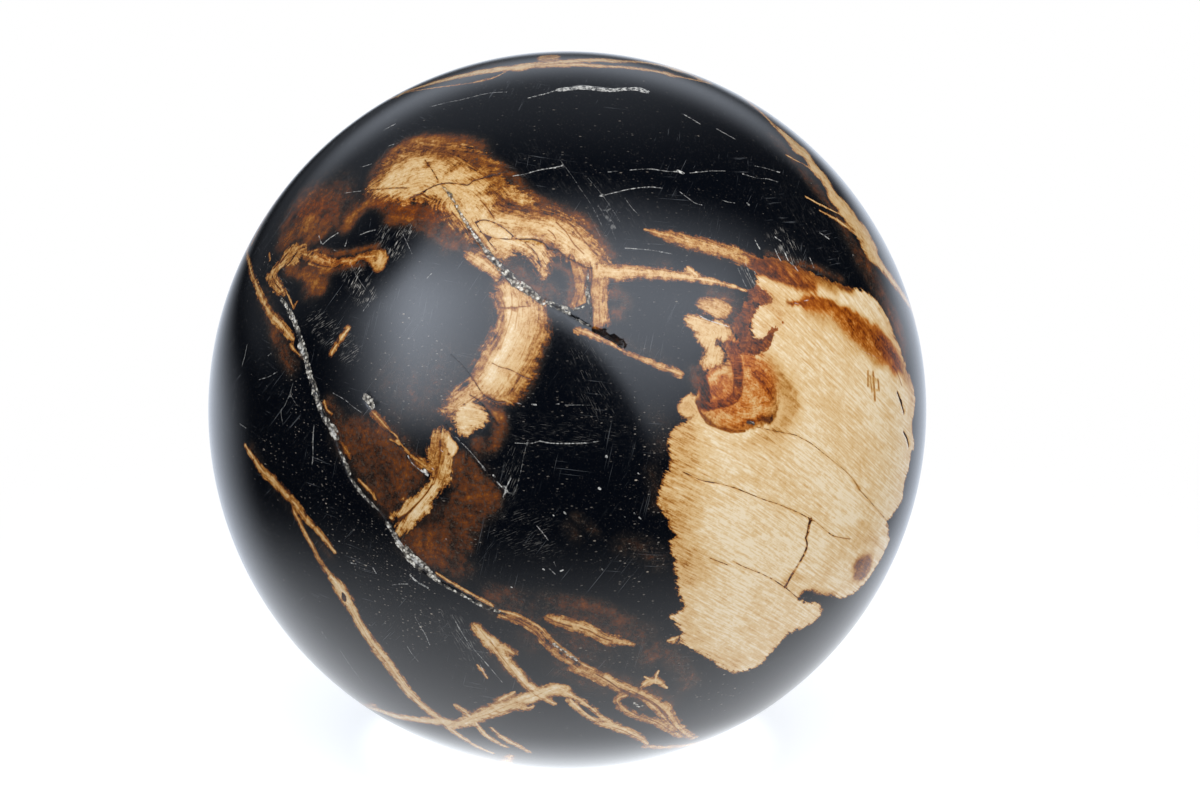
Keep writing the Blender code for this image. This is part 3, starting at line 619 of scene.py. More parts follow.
# Pale scratches and flecks: (half-width in px, brightness, pixels)
FLECKS = [
    (4.0, 0.9, [300, 344, 303, 353]),
    (4.0, 0.9, [331, 429, 335, 436]),
    (3.0, 0.9, [396, 538, 402, 546]),
    (3.0, 0.9, [412, 558, 422, 566]),
    (2.0, 0.8, [292, 314, 295, 322]),
    (0.9, 0.9, [528, 98, 538, 95.5, 548, 93, 552, 91.5, 560, 90]),
    (4.0, 1.0, [
        560, 90, 570, 88.5, 580, 87.5, 590, 88, 600, 89, 610, 90, 620, 89.5, 628, 89, 637, 89, 645, 91,
    ]),
    (0.5, 0.5, [430, 107, 445, 103, 460, 100, 472, 97, 490, 93, 507, 92]),
    (0.7, 0.7, [683, 114, 692, 119, 700, 124]),
    (0.6, 0.5, [717, 129, 726, 134, 735, 139]),
    (0.6, 0.7, [362, 167, 371, 164]),
    (0.6, 0.7, [384, 130, 395, 124]),
    (0.6, 0.5, [388, 146, 398, 143]),
    (0.6, 0.6, [345, 193, 361, 191]),
    (0.6, 0.6, [427, 278, 432, 273]),
    (0.8, 0.9, [513, 176, 525, 174, 535, 171, 545, 169, 556, 167.5]),
    (1.3, 1.0, [555, 168, 557, 167]),
    (0.9, 0.8, [561, 166, 563, 167]),
    (0.6, 0.6, [608, 172, 618, 171]),
    (0.6, 0.6, [630, 170, 650, 169, 665, 171, 678, 172]),
    (2.4, 1.0, [678, 171, 683, 173]),
    (0.6, 0.6, [690, 173, 700, 172, 710, 171, 725, 171]),
    (1.2, 0.9, [696, 172, 698, 172]),
    (1.2, 0.9, [743, 174, 746, 175]),
    (0.6, 0.6, [746, 175, 757, 178, 768, 179, 778, 182]),
    (0.5, 0.5, [755, 166, 765, 168, 778, 172]),
    (1.1, 0.9, [778, 172, 780, 172.5]),
    (0.7, 0.8, [600, 196, 613, 193, 625, 190, 637, 188, 650, 187, 662, 188]),
    (0.6, 0.5, [680, 192, 688, 198, 695, 203, 702, 205]),
    (0.5, 0.5, [722, 200, 728, 202, 735, 203]),
    (1.3, 0.8, [747, 203, 749, 205]),
    (0.5, 0.2, [588, 178, 606, 200, 620, 222]),
    (0.5, 0.2, [578, 186, 592, 206, 602, 226]),
    (0.5, 0.2, [598, 205, 608, 222, 616, 240]),
    (0.5, 0.4, [625, 198, 632, 208, 638, 214]),
    (0.4, 0.2, [560, 160, 572, 176, 584, 194]),
    (0.4, 0.2, [606, 210, 616, 228]),
    (0.4, 0.2, [588, 212, 600, 236]),
    (1.0, 1.0, [782, 246, 785, 253, 788, 260]),
    (0.8, 0.9, [755, 240, 757, 244, 760, 249]),
    (0.8, 0.9, [775, 237, 778, 239, 781, 241]),
    (0.7, 0.8, [775, 249, 778, 256, 781, 261]),
    (0.7, 0.8, [810, 258, 812, 263, 814, 268]),
    (1.1, 0.8, [820, 233, 825, 236, 829, 239]),
    (0.8, 0.7, [790, 262, 794, 266, 798, 271]),
    (1.0, 0.8, [853, 255, 854, 256]),
    (0.5, 0.5, [745, 262, 750, 275, 756, 287]),
    (0.5, 0.4, [738, 268, 743, 280, 748, 290]),
    (0.7, 0.7, [625, 248, 638, 249, 650, 250, 662, 252, 672, 254]),
    (1.1, 0.9, [700, 316, 708, 320, 720, 324, 730, 327]),
    (0.9, 0.9, [540, 441, 550, 443, 565, 443.5, 588, 443]),
    (0.5, 0.5, [515, 443, 530, 443.5, 540, 441]),
    (0.5, 0.5, [588, 443, 600, 441]),
    (2.2, 1.0, [606, 456, 607, 457]),
    (2.3, 1.0, [599, 488, 600, 489]),
    (0.9, 0.8, [638, 473, 639, 474]),
    (1.0, 0.8, [634, 513, 635, 514]),
    (0.9, 0.7, [624, 516, 625, 517]),
    (1.0, 0.7, [639, 517, 641, 519]),
    (1.2, 0.9, [553, 515, 554, 516]),
    (1.2, 0.9, [564, 512, 566, 514]),
    (1.4, 1.0, [543, 569, 544, 570]),
    (1.4, 1.0, [561, 571, 563, 570]),
    (0.7, 0.7, [550, 569, 555, 574]),
    (0.6, 0.6, [554, 562, 556, 567]),
    (1.3, 1.0, [511, 587, 512, 587.5]),
    (1.0, 0.8, [602, 569, 603, 570]),
    (0.9, 0.8, [446, 539, 447, 540]),
    (0.8, 0.9, [537, 526, 543, 533, 548, 540]),
    (0.8, 0.8, [634, 397, 635, 398]),
    (1.6, 0.7, [532, 404, 536, 405]),
    (0.9, 0.6, [517, 403, 521, 404]),
    (0.9, 0.6, [556, 404, 559, 404]),
    (0.5, 0.4, [565, 405, 578, 405, 592, 405]),
    (0.6, 0.7, [455, 436, 466, 447, 475, 457, 483, 467]),
    (1.7, 1.0, [483, 467, 485, 470]),
    (1.3, 1.0, [493, 475, 495, 477]),
    (1.1, 0.9, [497, 482, 503, 488, 509, 493]),
    (0.8, 0.8, [511, 478, 507, 486, 503, 497]),
    (0.5, 0.3, [528, 440, 524, 455, 520, 475, 514, 495]),
    (1.0, 0.9, [408, 456, 412, 463, 420, 470, 428, 476]),
    (1.0, 0.9, [432, 468, 434, 470]),
    (1.1, 0.9, [421, 470, 426, 473]),
    (0.8, 0.9, [440, 449, 443, 452]),
    (0.7, 0.6, [314, 425, 313, 440, 313, 455, 312, 465]),
    (0.5, 0.35, [293, 383, 290, 393, 285, 405, 281, 411, 283, 425]),
    (0.5, 0.35, [290, 393, 294, 401, 298, 406]),
    (0.6, 0.6, [333, 393, 345, 400, 352, 406, 362, 413]),
    (1.0, 0.8, [312, 389, 313, 391]),
    (1.2, 0.9, [316, 393, 318, 396]),
    (0.8, 0.8, [319, 236, 322, 244, 326, 241, 330, 238, 338, 233]),
    (0.7, 0.7, [360, 235, 367, 232, 375, 230]),
    (0.8, 0.8, [345, 246, 347, 240]),
    (0.8, 0.7, [334, 250, 337, 251]),
    (0.5, 0.5, [375, 250, 381, 241, 389, 229]),
    (0.5, 0.4, [350, 262, 356, 275, 366, 290]),
    (0.5, 0.4, [402, 232, 407, 243, 412, 254]),
    (0.5, 0.4, [363, 311, 369, 303, 375, 296]),
    (0.6, 0.6, [268, 356, 272, 352]),
    (0.6, 0.6, [277, 372, 268, 377, 258, 380]),
    (0.5, 0.5, [242, 366, 245, 355, 247, 345]),
    (0.6, 0.6, [452, 615, 458, 626, 464, 636, 470, 645, 480, 656, 492, 670, 502, 682]),
    (0.7, 0.7, [480, 665, 486, 675]),
    (0.7, 0.6, [415, 617, 420, 626, 425, 634, 430, 645]),
    (0.6, 0.5, [407, 646, 412, 654, 418, 661]),
    (1.0, 0.8, [373, 568, 376, 573]),
    (0.9, 0.8, [351, 563, 356, 564]),
    (0.8, 0.7, [402, 598, 404, 599]),
    (0.9, 0.7, [392, 585, 400, 584, 408, 584]),
    (0.6, 0.4, [322, 632, 326, 638]),
    (0.5, 0.35, [340, 650, 352, 668, 366, 686]),
    (0.5, 0.35, [350, 690, 362, 700, 374, 708]),
    (1.3, 0.9, [410, 575, 416, 581, 428, 588]),
    (0.5, 0.5, [800, 328, 815, 330, 830, 334, 838, 336, 848, 343, 860, 350, 878, 358]),
    (0.9, 0.9, [795, 303, 798, 304]),
    (0.9, 0.9, [804, 301, 808, 300]),
    (1.1, 0.9, [634, 704, 638, 705]),
    (0.6, 0.5, [240, 424, 246, 428]),
]

# Scuffed patches of fine parallel scratches: (how strongly, direction in degrees from the picture's right
# towards its top, half-width in px, softness in px, pixels)
SCUFFS = [
    (1.0, 62, 10, 5, [351, 268, 357, 280, 366, 296]),
    (0.9, 60, 8, 4, [408, 228, 401, 240, 396, 250]),
    (0.7, 60, 5, 5, [384, 232, 378, 246]),
    (0.06, -56, 22, 14, [596, 186, 616, 206, 634, 226]),
    (0.04, -58, 22, 16, [530, 158, 560, 186]),
    (0.12, -62, 16, 14, [584, 348, 590, 380, 600, 410]),
    (0.9, -68, 6, 5, [748, 266, 758, 284]),
    (0.8, -66, 8, 6, [782, 240, 792, 256]),
    (0.05, -60, 20, 16, [800, 212, 830, 236]),
    (0.6, 35, 10, 8, [314, 318, 334, 336, 352, 352]),
    (0.10, -8, 16, 12, [520, 430, 560, 434, 610, 430]),
    (0.18, 66, 10, 10, [514, 452, 510, 480, 498, 512]),
    (0.15, 20, 22, 16, [506, 520, 540, 540]),
    (0.5, -45, 8, 8, [276, 268, 284, 288]),
    (0.4, -58, 10, 10, [450, 620, 472, 654]),
]

# Where fine pale specks gather in the black: (how strongly, half-width in px, softness in px, pixels)
SPECKS = [
    (1.0, 34, 22, [372, 552, 392, 580, 404, 612]),
    (0.7, 30, 20, [310, 440, 326, 480, 340, 520]),
    (0.8, 14, 12, [268, 452, 280, 462]),
    (0.7, 24, 20, [412, 330, 440, 372, 450, 400]),
    (0.5, 30, 24, [380, 360, 400, 420]),
    (0.4, 20, 18, [520, 410, 560, 404, 600, 412]),
    (0.35, 40, 26, [520, 470, 560, 500, 600, 560]),
    (0.8, 14, 12, [486, 516, 470, 546]),
    (0.7, 26, 20, [650, 430, 650, 500, 640, 580]),
    (0.8, 14, 14, [288, 380, 300, 404]),
    (0.8, 12, 12, [272, 250, 262, 262]),
    (0.45, 50, 40, [600, 660, 680, 640, 740, 700]),
]

# What is hollowed out: (half-width in mm, depth in mm, pixels)
FISSURES = [
    (0.22, 0.06, [
        276, 272, 286, 296, 294, 318, 302, 346, 309, 370, 316, 394, 323, 414, 333, 433, 341, 454, 349, 476,
        364, 497, 381, 513, 394, 534, 404, 549, 416, 565, 430, 574, 452, 586, 478, 601, 500, 612,
    ]),
    (0.15, 0.05, [
        440, 184, 454, 203, 464, 221, 476, 238, 489, 255, 504, 271, 520, 286, 538, 298, 552, 306, 575, 319,
        591, 328,
    ]),
    (0.20, 0.8, [593, 330, 606, 336, 621, 345]),
    (0.70, 0.04, [367, 398, 370, 403, 373, 407]),
    (0.17, 0.30, [368, 403, 370, 405]),
    (0.12, 0.04, [811, 519, 808, 532, 807, 545, 801, 560, 793, 573, 785, 587]),
    (0.12, 0.06, [700, 480, 706, 481.5, 720, 484]),
    (0.25, 0.25, OPEN_CRACK),
    (0.25, 0.2, OPEN_CRACK_BELOW),
    (0.15, 0.12, [518, 239, 525, 239, 532, 239, 541, 242]),
]

# The same kinds of marks away from the front, by bearing and height in degrees. Widths are in mm
FAR_PALE_PATCHES = [
    (CREAM, 0.35, 0.3, 0.3, [
        118, 8, 124, 22, 135, 30, 148, 27, 158, 14, 163, 0, 158, -14, 148, -26, 136, -33, 124, -30,
        117, -18,
    ]),
    (TAN, 0.4, 0.9, 0.8, [196, 52, 206, 44, 220, 42, 234, 46, 240, 56, 228, 63, 210, 62]),
]
FAR_PALE_VEINS = [
    ((0.5, 0.4, 0.6, 0.3), HONEY, RUST, [-83, 30, -90, 38, -99, 42, -108, 50, -120, 54, -138, 53]),
    ((0.5, 0.6, 0.4), TAN, AMBER, [84, 16, 92, 8, 99, 0, 104, -12, 106, -26, 102, -38]),
    ((0.4, 0.6, 0.3, 0.5, 0.4), TAN, AMBER, [
        78, 55, 92, 60, 112, 61, 136, 66, 164, 66, -172, 58, -160, 52,
    ]),
    ((0.3, 0.4), HONEY, RUST, [-45, -43, -60, -48, -80, -47, -100, -40, -116, -30, -124, -16]),
    ((0.5, 0.7, 0.4), TAN, AMBER, [-15, -54, -22, -62, -40, -70, -80, -72, -120, -66, -150, -58]),
    ((0.5, 0.6), TAN, AMBER, [19, -50, 32, -54, 52, -56, 78, -54, 100, -50, 122, -50]),
    ((0.3, 0.5, 0.3), HONEY, RUST, [-96, 22, -108, 12, -118, -2, -130, -8, -146, -12]),
    ((0.3, 0.5, 0.4), STRAW, AMBER, [-150, 30, -160, 20, -172, 14, 176, 4, 170, -10, 172, -24, -178, -38]),
    ((0.4, 0.3), HONEY, RUST, [168, 52, 178, 44, -172, 40, -160, 42]),
    ((0.3, 0.3), TAN, AMBER, [-120, 30, -132, 34, -146, 30, -156, 34]),
]
FAR_TINTS = [
    (HONEY, 0.6, 1.2, 1.6, [119, 6, 125, 20, 136, 28, 148, 25]),
    (TAN, 0.7, 1.2, 1.6, [118, -18, 125, -29, 137, -31, 148, -24]),
    (LIGHT, 0.6, 2.0, 2.4, [134, 14, 142, 2, 142, -12]),
    (RUST, 0.8, 0.6, 0.8, FAR_PATCH_EDGE),
]
FAR_RUDDY = [
    (0.8, 1.2, 1.0, FAR_PATCH_EDGE),
    (0.6, 1.6, 1.2, FAR_SMALL_PATCH_EDGE),
]
FAR_STAINS = [
    (BROWN, 0.9, 2.6, 2.4, [-112, 40, -126, 36, -140, 42, -150, 50]),
    (RUST, 0.9, 1.2, 1.4, [194, 50, 205, 41, 222, 38, 238, 44]),
    (RUST, 0.9, 1.0, 1.2, FAR_SMALL_PATCH_EDGE),
    (BROWN, 0.9, 2.0, 2.0, [164, 18, 170, 0, 166, -20, 158, -34]),
    (BROWN, 0.8, 2.4, 2.2, [-100, -20, -112, -30, -130, -34, -150, -30]),
    (UMBER, 0.9, 3.0, 2.4, [60, -60, 90, -64, 130, -62]),
    (BROWN, 0.8, 1.6, 2.0, [110, 40, 124, 46, 140, 48]),
]
FAR_GRIT = [
    ((0.3, 0.4, 0.4, 0.3), FAR_FISSURE),
]
FAR_CRACKS = [
    (0.12, [121, 2, 130, 0, 140, -5, 150, -6, 158, -10]),
    (0.1, [140, -5, 142, -14, 139, -24]),
    (0.1, [126, 22, 134, 14, 144, 10, 156, 10]),
    (0.12, [200, 58, 214, 52, 230, 54]),
]
FAR_FLECKS = [
    (0.1, 0.8, [-140, 10, -150, 6, -163, 4]),
    (0.1, 0.6, [-108, -6, -116, -14, -120, -24]),
    (0.12, 0.8, [172, 32, 178, 30, -174, 31]),
    (0.1, 0.6, [100, 28, 106, 22, 110, 14]),
    (0.12, 0.7, [150, -46, 165, -44, 178, -48]),
]
FAR_FISSURES = [
    (0.45, 0.4, FAR_FISSURE),
]

# How far from a mark's edge its distance is kept, and how far from its middle line that is measured, in mm
REACH = 1.5
MEASURED_WITHIN = 2.5
# A pixel near the ball's rim covers much of the surface, but widths in pixels count at most this many mm each
MOST_MM_PER_PX = 0.75
# How many pixels 1 mm takes in the middle of the ball
PX_PER_MM = 7.2
# How much of their drawn widths the cracks, the filled fissures and the flecks keep
CRACK_SHARE, GRIT_SHARE, FLECK_SHARE = 0.45, 0.75, 0.5
# What a place carries that no mark is near: its shade, raggedness and fringe in mm, and how busy it is
PLAIN = {"shade": 0.0, "ragged": 0.08, "fringe": 0.2, "busy": 0.5}
VEIN_BUSY = 0.75
# The fibres follow the nearest line within this many mm
FIBRE_REACH = 4.0
# The pixel from which the cream patch's own fibres are measured
CREAM_ORIGIN_PX = (720, 450)

# Spacing of the mesh along marks, and of its three grades elsewhere, in mm
MARK_STEP = 0.30
FINE_STEP, MIDDLE_STEP, COARSE_STEP = 0.50, 0.80, 1.35
# The mesh is finer within this many mm of a mark
FINE_WITHIN = 2.0
# Its other points keep this many mm, or this share of their spacing, from the points of the marks
KEEP_CLEAR = 0.20
CLEAR_SHARE = 0.42
# A direction faces the camera when its part towards it is over this
FACES_CAMERA = 0.05
# Points this little above the flat spot's rim, as a share of the radius, are left out
RIM_MARGIN = 0.004
# Points of marks that fall into one cell of this size in mm are one point
CELL = 0.11
# Rows of points run this far either side of an outline, in mm
OUTLINE_OFFSET = 0.3
# They also run along both edges of a line whose half-width in mm is over this
WIDE_LINE_HALF = 0.16
# Where the rows of points lie across a fissure, as shares of its half-width
FISSURE_ROWS = (-1.0, -0.6, -0.3, 0.0, 0.3, 0.6, 1.0)
FLAT_SPOT_SIDES = 96

# The depth of a fissure varies down to this share of it, at random
SHALLOWEST_SHARE = 0.4
SEED = 4
# The surface keeps its own normals where it is sunk by more than this many mm
SUNK_ENOUGH = 0.004
# How speckled the black is where no gathering of specks is drawn
LEAST_SPECKLED = 0.2


def unit(vectors):
    return vectors / np.linalg.norm(vectors, axis=-1, keepdims=True)


def seen_at(pixels):
    """The directions from the ball's centre to the places that the picture has at these pixels."""
    pixels = np.asarray(pixels, float)
    sight = unit(np.stack([
        (pixels[:, 0] - BALL_CENTRE_PX[0]) / FOCAL_LENGTH_PX,
        (BALL_CENTRE_PX[1] - pixels[:, 1]) / FOCAL_LENGTH_PX,
        -np.ones(len(pixels)),
    ], axis=1))
    nearest = -EYE_DISTANCE * sight[:, 2]
    inside = np.maximum(nearest**2 - EYE_DISTANCE**2 + 1, 0)
    hit = np.array([0, 0, EYE_DISTANCE]) + sight * (nearest - np.sqrt(inside))[:, None]
    return unit(hit @ np.stack([CAMERA_RIGHT, CAMERA_UP, CAMERA_BACK]))


def pixel_of(directions):
    """Where the picture shows these points of the surface, were nothing in front of them."""
    depth = EYE_DISTANCE - directions @ CAMERA_BACK
    x = BALL_CENTRE_PX[0] + FOCAL_LENGTH_PX * (directions @ CAMERA_RIGHT) / depth
    y = BALL_CENTRE_PX[1] - FOCAL_LENGTH_PX * (directions @ CAMERA_UP) / depth
    return np.stack([x, y], axis=1)


def at_bearing(places):
    """The directions at these bearings from the front and heights, in degrees."""
    turn, rise = np.radians(np.asarray(places, float)).T
    return np.stack([np.cos(rise) * np.sin(turn), -np.cos(rise) * np.cos(turn), np.sin(rise)], axis=1)


def eased(t):
    return t * t * (3 - 2 * t)


class Mark:
    """A smooth line or closed outline on the ball, with its width and whatever it carries."""

    def __init__(self, route, far=False, closed=False, widths=(0,), **carried):
        corners = np.array(route, float).reshape(-1, 2)
        corners = at_bearing(corners) if far else seen_at(corners)
        self.closed = closed
        self.__dict__.update(carried)
        self.points, share = self.smooth(corners)
        along = unit(np.gradient(self.points, axis=0))
        if closed:
            along = unit(np.roll(self.points, -1, axis=0) - np.roll(self.points, 1, axis=0))
        self.across = unit(np.cross(self.points, along))
        steps = np.linalg.norm(np.diff(self.points, axis=0), axis=1) * RADIUS_MM
        self.travelled = np.concatenate([[0], np.cumsum(steps)])
        per_px = np.ones(len(self.points)) if far else self.mm_per_px()
        self.per_px = float(np.median(per_px))
        self.half = np.interp(share, np.linspace(0, 1, len(widths)), widths) * per_px
        self.middle = unit(self.points.mean(axis=0))
        self.spread = np.linalg.norm(self.points - self.middle, axis=1).max() * RADIUS_MM

    def smooth(self, corners):
        """The corners joined by a smooth curve that passes through each, in short steps."""
        count = len(corners)
        points, share = [], []
        for i in range(count if self.closed else count - 1):
            b, c = corners[i], corners[(i + 1) % count]
            a = corners[i - 1] if self.closed or i > 0 else 2 * b - c
            d = corners[(i + 2) % count] if self.closed or i + 2 < count else 2 * c - b
            steps = max(1, math.ceil(np.linalg.norm(c - b) * RADIUS_MM / MARK_STEP))
            t = (np.arange(steps) / steps)[:, None]
            points.append(0.5 * (
                2 * b + (c - a) * t + (2 * a - 5 * b + 4 * c - d) * t**2 + (3 * b - a - 3 * c + d) * t**3
            ))
            share.append((i + t[:, 0]) / max(count - 1, 1))
        if not self.closed:
            points.append(corners[-1:])
            share.append(np.array([1.0]))
        return unit(np.vstack(points)), np.concatenate(share)

    def mm_per_px(self):
        """How many mm one pixel across the line covers, at each point."""
        step = 0.002
        moved = pixel_of(unit(self.points + self.across * step)) - pixel_of(self.points)
        covered = step * RADIUS_MM / np.maximum(np.linalg.norm(moved, axis=1), 1e-6)
        return np.minimum(covered, MOST_MM_PER_PX)

    def near(self, directions, reach):
        """Which directions may lie within this many mm of the mark."""
        away = np.linalg.norm(directions - self.middle, axis=1) * RADIUS_MM
        return np.nonzero(away < self.spread + reach)[0]

    def measure(self, directions):
        """The distance to the line, the place along and across it and its half-width there, in mm."""
        start = self.points
        end = np.roll(start, -1, axis=0) if self.closed else start[1:]
        start = start[: len(end)]
        span = end - start
        length2 = np.maximum((span**2).sum(axis=1), 1e-14)
        best = np.full(len(directions), 1e9)
        place = np.zeros(len(directions))
        side = np.zeros(len(directions))
        for i in range(len(start)):
            offset = directions - start[i]
            t = np.clip(offset @ span[i] / length2[i], 0, 1)
            away = offset - t[:, None] * span[i]
            distance = np.einsum("ij,ij->i", away, away)
            closer = distance < best
            best[closer] = distance[closer]
            place[closer] = i + t[closer]
            side[closer] = np.sign(away[closer] @ self.across[i])
        distance = np.sqrt(best) * RADIUS_MM
        index = np.arange(len(self.points))
        travelled = np.interp(place, index, self.travelled)
        return distance, travelled, side * distance, np.interp(place, index, self.half)

    def holds(self, directions):
        """Which directions lie inside the closed outline."""
        up = Vector((0, 0, 1)) if abs(self.middle[2]) < 0.9 else Vector((1, 0, 0))
        east = unit(np.cross(np.array(up), self.middle))
        north = np.cross(self.middle, east)
        x, y = directions @ east, directions @ north
        px, py = self.points @ east, self.points @ north
        inside = np.zeros(len(directions), bool)
        for ax, ay, bx, by in zip(px, py, np.roll(px, -1), np.roll(py, -1)):
            if ay != by:
                crosses = (ay > y) != (by > y)
                inside ^= crosses & (x < (bx - ax) * (y - ay) / (by - ay) + ax)
        return inside & (directions @ self.middle > 0)

    def sites(self):
        """Rows of mesh points that this mark asks for, the row on the mark itself first."""
        rows = [self.points]
        for sign in (-1.0, 1.0):
            if self.closed:
                rows.append(self.points + self.across * (sign * OUTLINE_OFFSET / RADIUS_MM))
            else:
                edge = self.points + self.across * (sign * self.half / RADIUS_MM)[:, None]
                rows.append(edge[self.half > WIDE_LINE_HALF])
        return [unit(row) for row in rows if len(row)]


def marks_of(near, far, columns, closed=False, share=1.0):
    """The marks of two tables, the front's and the rest's. The columns are those before the route.

    A mark keeps this share of its drawn widths.
    """
    marks = []
    for table, is_far in ((near, False), (far, True)):
        for *values, route in table:
            carried = dict(zip(columns.split(), values, strict=True))
            if "widths" in carried:
                carried["widths"] = np.atleast_1d(carried["widths"]) * share
            marks.append(Mark(route, is_far, closed, **carried))
    return marks


BRUSH = "strength brush_half brush_soft"

pale_patches = marks_of(PALE_PATCHES, FAR_PALE_PATCHES, "shade ragged fringe busy", closed=True)
pale_veins = marks_of(PALE_VEINS, FAR_PALE_VEINS, "widths shade edge")
dark_patches = marks_of(DARK_PATCHES, [], "shade ragged", closed=True)
dark_veins = marks_of(DARK_VEINS, [], "widths shade")
tints = marks_of(TINTS, FAR_TINTS, "paint " + BRUSH)
stains = marks_of(STAINS, FAR_STAINS, "paint " + BRUSH)
ruddy_parts = marks_of(RUDDY, FAR_RUDDY, BRUSH)
speckled_parts = marks_of(SPECKS, [], BRUSH)
scuffed_parts = marks_of(SCUFFS, [], "strength turn brush_half brush_soft")
grit = marks_of(GRIT, FAR_GRIT, "widths", share=GRIT_SHARE)
cracks = marks_of(CRACKS, FAR_CRACKS, "widths", share=CRACK_SHARE)
flecks = marks_of(FLECKS, FAR_FLECKS, "widths shade", share=FLECK_SHARE)
fissures = marks_of(FISSURES, FAR_FISSURES, "fissure_half depth")
grain_lines = marks_of([[route] for route in GRAIN_LINES], [], "")


def lattice(step):
    """Points spread evenly over the whole ball, about step mm apart."""
    count = int(4 * math.pi * RADIUS_MM**2 / (math.sqrt(3) / 2 * step**2))
    i = np.arange(count)
    height = 1 - (2 * i + 1) / count
    turn = i * math.pi * (3 - math.sqrt(5))
    flat = np.sqrt(1 - height**2)
    return np.stack([flat * np.cos(turn), flat * np.sin(turn), height], axis=1)


def mark_sites():
    """The mesh points on and beside the marks, with the fissures' first and no two in one cell."""
    rows = []
    for mark in fissures:
        for off in FISSURE_ROWS:
            rows.append(unit(mark.points + mark.across * (off * mark.fissure_half / RADIUS_MM)))
    every = pale_patches + pale_veins + dark_patches + dark_veins + grit + cracks + flecks
    rows += [mark.sites()[0] for mark in every]
    rows += [row for mark in every for row in mark.sites()[1:]]
    found = np.vstack(rows)
    cells = np.round(found * RADIUS_MM / CELL).astype(np.int64)
    _, first = np.unique(cells, axis=0, return_index=True)
    return found[np.sort(first)]


def mesh_sites():
    """The directions of all the ball's mesh points, closest together on and round the marks."""
    kept = mark_sites()
    tree = kdtree.KDTree(len(kept))
    for i, point in enumerate(kept):
        tree.insert(point, i)
    tree.balance()
    found = [kept]
    for grade in (FINE_STEP, MIDDLE_STEP, COARSE_STEP):
        spread = lattice(grade)
        away = np.array([tree.find(point)[2] for point in spread]) * RADIUS_MM
        in_front = spread @ CAMERA_BACK > FACES_CAMERA
        by_marks = np.where(in_front, FINE_STEP, MIDDLE_STEP)
        elsewhere = np.where(in_front, MIDDLE_STEP, COARSE_STEP)
        wanted = np.where(away < FINE_WITHIN, by_marks, elsewhere)
        found.append(spread[(wanted == grade) & (away > max(KEEP_CLEAR, grade * CLEAR_SHARE))])
    sites = np.vstack(found)
    flat_height = -BALL_CENTRE[2] / BALL_RADIUS
    sites = sites[sites[:, 2] > flat_height + RIM_MARGIN]
    turn = np.linspace(0, math.tau, FLAT_SPOT_SIDES + 1)[:-1]
    rim = FLAT_SPOT_RADIUS / BALL_RADIUS
    ring = np.stack([rim * np.cos(turn), rim * np.sin(turn), np.full(FLAT_SPOT_SIDES, flat_height)], axis=1)
    return np.vstack([sites, ring])


def triangles_between(sites):
    """The triangles that join the sites, laid out flat from the ball's foot, with the flat spot closed."""
    flat = sites[:, :2] / (1 + sites[:, 2:])
    points, _, faces, *_ = delaunay_2d_cdt([Vector(p) for p in flat], [], [], 0, 1e-9)
    plane = np.array([tuple(p) for p in points])
    square = (plane**2).sum(axis=1, keepdims=True)
    directions = np.hstack([2 * plane, 1 - square]) / (1 + square)
    faces = np.array([list(face) for face in faces])
    centre = len(directions)
    low = np.nonzero(directions[:, 2] < -BALL_CENTRE[2] / BALL_RADIUS + 1e-4)[0]
    low = low[np.argsort(np.arctan2(directions[low, 1], directions[low, 0]))]
    fan = np.stack([np.full(len(low), centre), np.roll(low, -1), low], axis=1)
    return directions, np.vstack([faces, fan])


def closeness(marks, directions):
    """The least distance to these marks in mm, negative inside them, and what the nearest one carries."""
    count = len(directions)
    found = {name: np.full(count, value) for name, value in PLAIN.items()}
    found["signed"] = np.full(count, REACH)
    for mark in marks:
        ids = mark.near(directions, MEASURED_WITHIN)
        distance, _, _, half = mark.measure(directions[ids])
        carried = {name: getattr(mark, name, value) for name, value in PLAIN.items()}
        if mark.closed:
            value = np.where(mark.holds(directions[ids]), -distance, distance)
        else:
            value = distance - half
            across = np.minimum(distance / np.maximum(half, 1e-3), 1) ** 2
            shade = carried["shade"]
            carried["shade"] = shade + (getattr(mark, "edge", shade) - shade) * across
            carried["ragged"] = np.clip(half * 0.5, 0.04, 0.20)
            carried["fringe"] = np.clip(half * 0.8, 0.10, 0.45)
            carried["busy"] = VEIN_BUSY
        taken = (value < found["signed"][ids]) | (value < 0)
        ids = ids[taken]
        found["signed"][ids] = np.minimum(found["signed"][ids], np.clip(value[taken], -REACH, REACH))
        for name, values in carried.items():
            found[name][ids] = np.broadcast_to(values, taken.shape)[taken]
    return found


def nearest_fibres(directions):
    """Each direction's place along and across the nearest line that the fibres follow, in mm."""
    best = np.full(len(directions), FIBRE_REACH)
    along = directions[:, 0] * RADIUS_MM
    across = directions[:, 2] * RADIUS_MM
    for mark in grain_lines + pale_veins:
        ids = mark.near(directions, FIBRE_REACH)
        distance, travelled, side, _ = mark.measure(directions[ids])
        closer = distance < best[ids]
        ids = ids[closer]
        best[ids] = distance[closer]
        along[ids] = travelled[closer]
        across[ids] = side[closer]
    return along, across


def cream_fibres(directions):
    """Along and across the fibres of the cream patch, in mm.

    They run down to the right, and steeper at the right.
    """
    pixel = pixel_of(directions)
    x, y = (pixel - CREAM_ORIGIN_PX).T / PX_PER_MM
    steeper = np.clip(x, 0, None) ** 2 * 0.014 * np.clip(1.1 - 0.03 * y, 0.2, 1.6)
    across = y - 0.52 * x - steeper
    return x + 0.5 * y, across * 0.87


